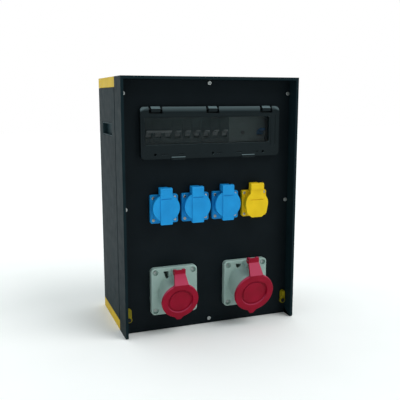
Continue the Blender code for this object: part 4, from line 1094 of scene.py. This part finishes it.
def upright(side, forward, up):
    """A point measured from the middle of the lid's face while the piece is still upright."""
    return Vector((side, -forward, up)) * MM


def tilt(piece, x, size):
    """Slopes an upright piece and moves it to its socket."""
    take(piece)
    piece.rotation_euler = (TILT, 0.0, 0.0)
    piece.location = at(x, *size["face"])
    bpy.ops.object.transform_apply(location=True, rotation=True, scale=True)
    return piece


def tilted_bar(name, x, size, radius, near, far, sides=72):
    """A bar along the sloped axis between two distances in front of the lid's face."""
    bar = drum(name, upright(0.0, (near + far) / 2, 0.0), (0, -1, 0), radius, abs(far - near), sides)
    return tilt(bar, x, size)


print("the industrial sockets slope down by", round(math.degrees(TILT)), "degrees")

# %% [markdown]
# The collar widens to a lip at its mouth. It is one bar whose front face is drawn out twice, first widening
# and then straight. Three bars of nearly one radius would be harder for a Boolean to join.

# %% Collar
def collar_tube(x, size):
    """The collar with its lip, sloped and in place."""
    tube = drum("tube", upright(0.0, -35.6, 0.0), (0, -1, 0), size["collar"], 43.4, 72)
    pick(tube, "FACE", to_front)
    draw_out(0.0, -2.6, 0.0)
    wider = (size["collar"] + 2.0) / size["collar"]
    bpy.ops.transform.resize(value=(wider, 1.0, wider), center_override=(0.0, 0.0, 0.0))
    draw_out(0.0, -6.0, 0.0)
    leave()
    return tilt(tube, x, size)


# %% [markdown]
# The flange is a square plate with soft corners and four screw seats. A rib climbs from it to the lid's eye,
# with a pocket on either side where the mould's core stood. The rib is a box whose rear face is moved down
# and stretched, so that it becomes a bracket. The collar's bore is cut last, through everything.

# %% Industrial socket body
CEE_HALF, CEE_FRONT = 42.9, 14.5
SEAT_AT = 35.0


def cee_body(name, x, size):
    """An industrial socket: flange, housing, collar, and the rib that carries the lid."""
    corner = at(x - CEE_HALF, CEE_FRONT, CEE_Z - CEE_HALF)
    body = cube(name, corner, at(x + CEE_HALF, FLANGE_BACK, CEE_Z + CEE_HALF))
    round_edges(body, front_to_back, 7.0, 8)
    round_edges(body, lambda spot, way: spot.y < at(0, 15, 0).y, 1.8, 4)
    housing = drum("housing", at(x, 45.5, CEE_Z), (0, 1, 0), size["housing"], 53.0, 72)
    weld(body, housing, collar_tube(x, size))
    hinge_depth, hinge_z = size["hinge"]
    rib = cube("rib", at(x - 5.6, hinge_depth, hinge_z - 3.0), at(x + 5.6, 22.0, hinge_z + 3.0))
    pick(rib, "FACE", lambda spot, way: way.y > STRAIGHT)
    drop = hinge_z - (CEE_Z + 26.0)
    bpy.ops.transform.translate(value=(0.0, 0.0, -drop * MM))
    bpy.ops.transform.resize(value=(1.0, 1.0, 4.0), center_override=at(x, 22.0, CEE_Z + 26.0))
    leave()
    eye = drum("eye", at(x, hinge_depth, hinge_z), (1, 0, 0), 3.2, 11.2, 32)
    weld(body, rib, eye)
    for side in (-1, 1):
        inner, outer = sorted((x + side * 10.5, x + side * 20.5))
        pocket = cube("pocket", at(inner, 10.0, 97.0), at(outer, 34.0, 111.5))
        pick(pocket, "FACE", to_floor)
        bpy.ops.transform.resize(value=(0.45, 1.0, 1.0), center_override=at(x + side * 11.5, 22.0, 97.0))
        leave()
        cut(body, pocket)
        for high in (-1, 1):
            seat_place = at(x + side * SEAT_AT, 15.0, CEE_Z + high * SEAT_AT)
            cut(body, drum("seat", seat_place, (0, 1, 0), 5.2, 7.0, 32))
    cut(body, tilted_bar("bore", x, size, size["collar"] - 3.0, -51.3, 5.0))
    cut(body, drum("pin_bore", at(x, hinge_depth, hinge_z), (1, 0, 0), 1.8, 40.0, 20))
    return body


for stem, size in CEE.items():
    x = middle_of(stem + "_socket")[0]
    made = cee_body(stem + "_body", x, size)
    settle(made, pale_plastic, "case", "pale_grey", stem + "_socket", edge=0.5, steps=3)
    flange_screws(stem, x, CEE_Z, 18.4, SEAT_AT, SEAT_AT, 2.9, zinc)

# %% [markdown]
# Inside the collar stands a black block with five contact tubes, one wider than the rest and placed so that
# only the right plug fits. They are seen when the lid is up. Each tube is a bar cut out of the block.

# %% Contact blocks
def contact_block(stem, x, size):
    """A black block on the sloped axis with five tubes."""
    block = tilted_bar(stem + "_block", x, size, size["carrier"], -51.0, -17.0, 64)
    ring = size["carrier"] * 0.62
    for step in range(5):
        angle = math.radians(-90.0 + 72.0 * step)
        side, up = ring * math.cos(angle), ring * math.sin(angle)
        radius = 3.4 if step else 4.2
        hole = drum("tube", upright(side, -25.0, up), (0, -1, 0), radius, 24.0, 28)
        cut(block, tilt(hole, x, size))
    return block


for stem, size in CEE.items():
    x = middle_of(stem + "_socket")[0]
    made = contact_block(stem, x, size)
    settle(made, carrier_plastic, "case", "black", stem + "_contacts", edge=0.4)

# %% [markdown]
# ## Red lids
#
# The lid is a thick disc with a shallow dish. Its tab at the bottom is for the thumb, and a wide arm at the
# top bends back to the knuckle, where a spring snaps it shut. The disc is a bar whose face is inset and
# pushed in. The arm is a box whose lower face is drawn out and widened to where it meets the disc.

# %% Lid and arm
ARM_REACH = 9.9
LID_THICK, DISH_DEEP = 5.0, 3.2


def cee_lid(name, x, size):
    """A lid with its dish, ring, tab, arm and knuckle."""
    hinge_depth, hinge_z = size["hinge"]
    lid, dish = size["lid"], size["dish"]
    disc = drum(name, upright(0.0, -LID_THICK / 2, 0.0), (0, -1, 0), lid, LID_THICK, 96)
    pick(disc, "FACE", to_front)
    bpy.ops.mesh.inset(thickness=(lid - dish) * MM)
    draw_out(0.0, DISH_DEEP, 0.0)
    bpy.ops.transform.resize(value=(0.97, 1.0, 0.97), center_override=(0.0, DISH_DEEP * MM, 0.0))
    bpy.ops.mesh.inset(thickness=2.6 * MM)
    bpy.ops.mesh.inset(thickness=1.2 * MM)
    draw_out(0.0, -1.4, 0.0)
    leave()
    round_edges(disc, lambda spot, way: spot.y < 0.1 * MM and spot.xz.length > (lid - 0.5) * MM, 1.2, 4)
    tab = cube("tab", upright(-9.0, -0.2, -lid + 2.0), upright(9.0, -4.8, -size["tab"]))
    pick(tab, "FACE", to_floor)
    bpy.ops.transform.resize(value=(0.36, 1.0, 1.0), center_override=upright(0.0, -2.5, -size["tab"]))
    leave()
    root = cube("root", upright(-12.8, -0.15, lid - 1.0), upright(12.8, -4.85, lid - 6.5))
    pick(root, "FACE", to_floor)
    bpy.ops.transform.resize(value=(1.28, 1.0, 1.0), center_override=upright(0.0, -2.5, lid - 6.5))
    leave()
    weld(disc, tab, root)
    tilt(disc, x, size)
    knuckle = drum("knuckle", at(x, hinge_depth, hinge_z), (1, 0, 0), size["knuckle"], 2 * ARM_REACH, 48)
    weld(disc, cee_arm(x, size), knuckle)
    slot_low = at(x - 5.9, hinge_depth - 3.7, hinge_z - 6.4)
    slot = cube("slot", slot_low, at(x + 5.9, hinge_depth + 12.0, hinge_z + 12.0))
    bore = drum("bore", at(x, hinge_depth, hinge_z), (1, 0, 0), 1.8, 30.0, 20)
    return cut(disc, slot, bore)


def cee_arm(x, size):
    """The arm: a box whose lower face is moved and widened to meet the top of the sloped disc."""
    hinge_depth, hinge_z = size["hinge"]
    knuckle = size["knuckle"]
    arm_low = at(x - ARM_REACH, hinge_depth - knuckle, hinge_z - 3.0)
    top = cube("arm", arm_low, at(x + ARM_REACH, hinge_depth - 0.6, hinge_z + knuckle * 0.98))
    slope = Matrix.Rotation(TILT, 3, "X")
    face = at(x, *size["face"])
    target = face + slope @ upright(0.0, -2.0, size["lid"] - 1.2)
    pick(top, "FACE", to_floor)
    start = at(x, hinge_depth - knuckle / 2 - 0.3, hinge_z - 3.0)
    bpy.ops.mesh.extrude_region_move(TRANSFORM_OT_translate={"value": target - start})
    bpy.ops.transform.resize(value=(1.293, 0.72, 1.0), center_override=target)
    leave()
    return top


for stem, size in CEE.items():
    x = middle_of(stem + "_socket")[0]
    made = cee_lid(stem + "_flap", x, size)
    settle(made, red_plastic, stem + "_lid_body", "red", stem + "_lid", edge=0.6, steps=3)
    pin = drum(stem + "_pin", at(x, *size["hinge"]), (1, 0, 0), 1.5, 19.2, 24)
    settle(pin, zinc, "case", "steel", stem + "_hinge_pin", edge=0.3)

# %% [markdown]
# All flanges have their screws now, so the screws are finished. They keep sharp edges, since they are small.

# %% Finish the flange screws
for made, metal in waiting:
    settle(made, metal, "case", "steel", edge=0)

# %% [markdown]
# ## The earth bar
#
# A brass bar on the inside of the back wall takes the earth wires. It is a box with a drilled row of holes.

# %% Earth bar
WIRE_HOLES, HOLE_STEP = 10, 11.5
bar_low, bar_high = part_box("earth_terminal_bar")
bar = cube("earth_bar", bar_low, bar_high)
bar_depth = (bar_low.y - HOOD_LOW.y) / MM
for step in range(WIRE_HOLES):
    x = HOLE_STEP * (step - (WIRE_HOLES - 1) / 2)
    cut(bar, drum("wire_hole", at(x, bar_depth - 1.0, 149.0), (0, 1, 0), 2.6, 12.0, 20))
settle(bar, brass, "case", "brass", "earth_terminal_bar", edge=0.3)

# %% [markdown]
# ## Floor, light and camera
#
# The box stands on a pale floor that runs out into white. The floor is a plane far larger than the view, a
# little under the box so that the two do not flicker, with clouds too faint to be noticed.

# %% Floor
FLOOR_SIDE = 12.0
FLOOR_GAP = 0.0002
floor_paint, tree = new_material("Pale studio floor")
spot = node(tree, "TexCoord").outputs["Object"]
mottle = node(tree, "TexNoise", {"Scale": 12.0, "Detail": 2.0}, {"Vector": spot})
tone = node(tree, "ValToRGB", None, {"Fac": mottle.outputs["Fac"]})
tone.color_ramp.elements[0].color = linear("#f7f9f8")
tone.color_ramp.elements[1].color = linear("#fbfcfc")
dull = {"Roughness": 0.8, "Specular IOR Level": 0.0}
skin = node(tree, "BsdfPrincipled", dull, {"Base Color": tone.outputs["Color"]})
node(tree, "OutputMaterial", None, {"Surface": skin.outputs["BSDF"]})
bpy.ops.object.select_all(action="DESELECT")
bpy.ops.mesh.primitive_plane_add(size=FLOOR_SIDE, location=(0.0, 0.0, -FLOOR_GAP))
floor = bpy.context.object
floor.name = "studio_floor"
bpy.ops.object.transform_apply(location=True, rotation=False, scale=False)
floor.data.materials.append(floor_paint)
print("a floor", FLOOR_SIDE, "m wide")

# %% [markdown]
# Most of the light comes from the sky, as from white cloth above and behind the box. Less comes from the
# front, so the dark panel stays dark while the floor stays white. Behind the box the camera sees plain white.

# %% Sky
SKY_FRONT, SKY_BACK = 0.34, 1.12
scene = bpy.context.scene
scene.view_settings.view_transform = "Standard"
scene.world = bpy.data.worlds.new("Studio")
scene.world.use_nodes = True
sky = scene.world.node_tree
sky.nodes.clear()
way = node(sky, "TexCoord").outputs["Generated"]
split = node(sky, "SeparateXYZ", None, {"Vector": way})
fall = {"From Min": -0.8, "From Max": 0.3, "To Min": SKY_FRONT, "To Max": SKY_BACK}
front = node(sky, "MapRange", fall, {"Value": split.outputs["Y"]})
glow = node(sky, "Background", {"Color": (0.95, 1.0, 1.0, 1.0)}, {"Strength": front.outputs["Result"]})
white = node(sky, "Background", {"Color": (1.0, 1.0, 1.0, 1.0), "Strength": 1.0})
seen = node(sky, "LightPath").outputs["Is Camera Ray"]
both = node(sky, "MixShader", None, {0: seen, 1: glow.outputs["Background"], 2: white.outputs["Background"]})
node(sky, "OutputWorld", None, {"Surface": both.outputs["Shader"]})
print("a sky from", SKY_FRONT, "in front to", SKY_BACK, "behind")

# %% [markdown]
# One key light comes from the right and the front and lays the shadow to the left. It is a sun as wide as a
# large window, so the edge of the shadow is soft.

# %% Key light
SUN_POWER, SUN_WIDTH = 1.3, 40.0
sun = bpy.data.lights.new("big_window", "SUN")
sun.energy = SUN_POWER
sun.angle = math.radians(SUN_WIDTH)
key = bpy.data.objects.new("big_window", sun)
key.rotation_euler = Vector((-0.6, 0.55, -0.95)).to_track_quat("-Z", "Y").to_euler()
scene.collection.objects.link(key)
print("a key light", SUN_WIDTH, "degrees wide")

# %% [markdown]
# The camera stands to the left of the box, a little above it, with a long lens, so the upright edges stay
# nearly parallel. It is turned to look along one direction, which is easier to read than three angles.

# %% Camera
view = bpy.data.cameras.new("view")
view.lens = 52.51
view.sensor_width = 36.0
camera = bpy.data.objects.new("view", view)
camera.location = (-0.37356, -1.03696, 0.41482)
camera.rotation_euler = Vector((0.3409, 0.9241, -0.1730)).to_track_quat("-Z", "Y").to_euler()
scene.collection.objects.link(camera)
scene.camera = camera
print("a camera", round(camera.location.length, 2), "m from the box's foot, with a", view.lens, "mm lens")
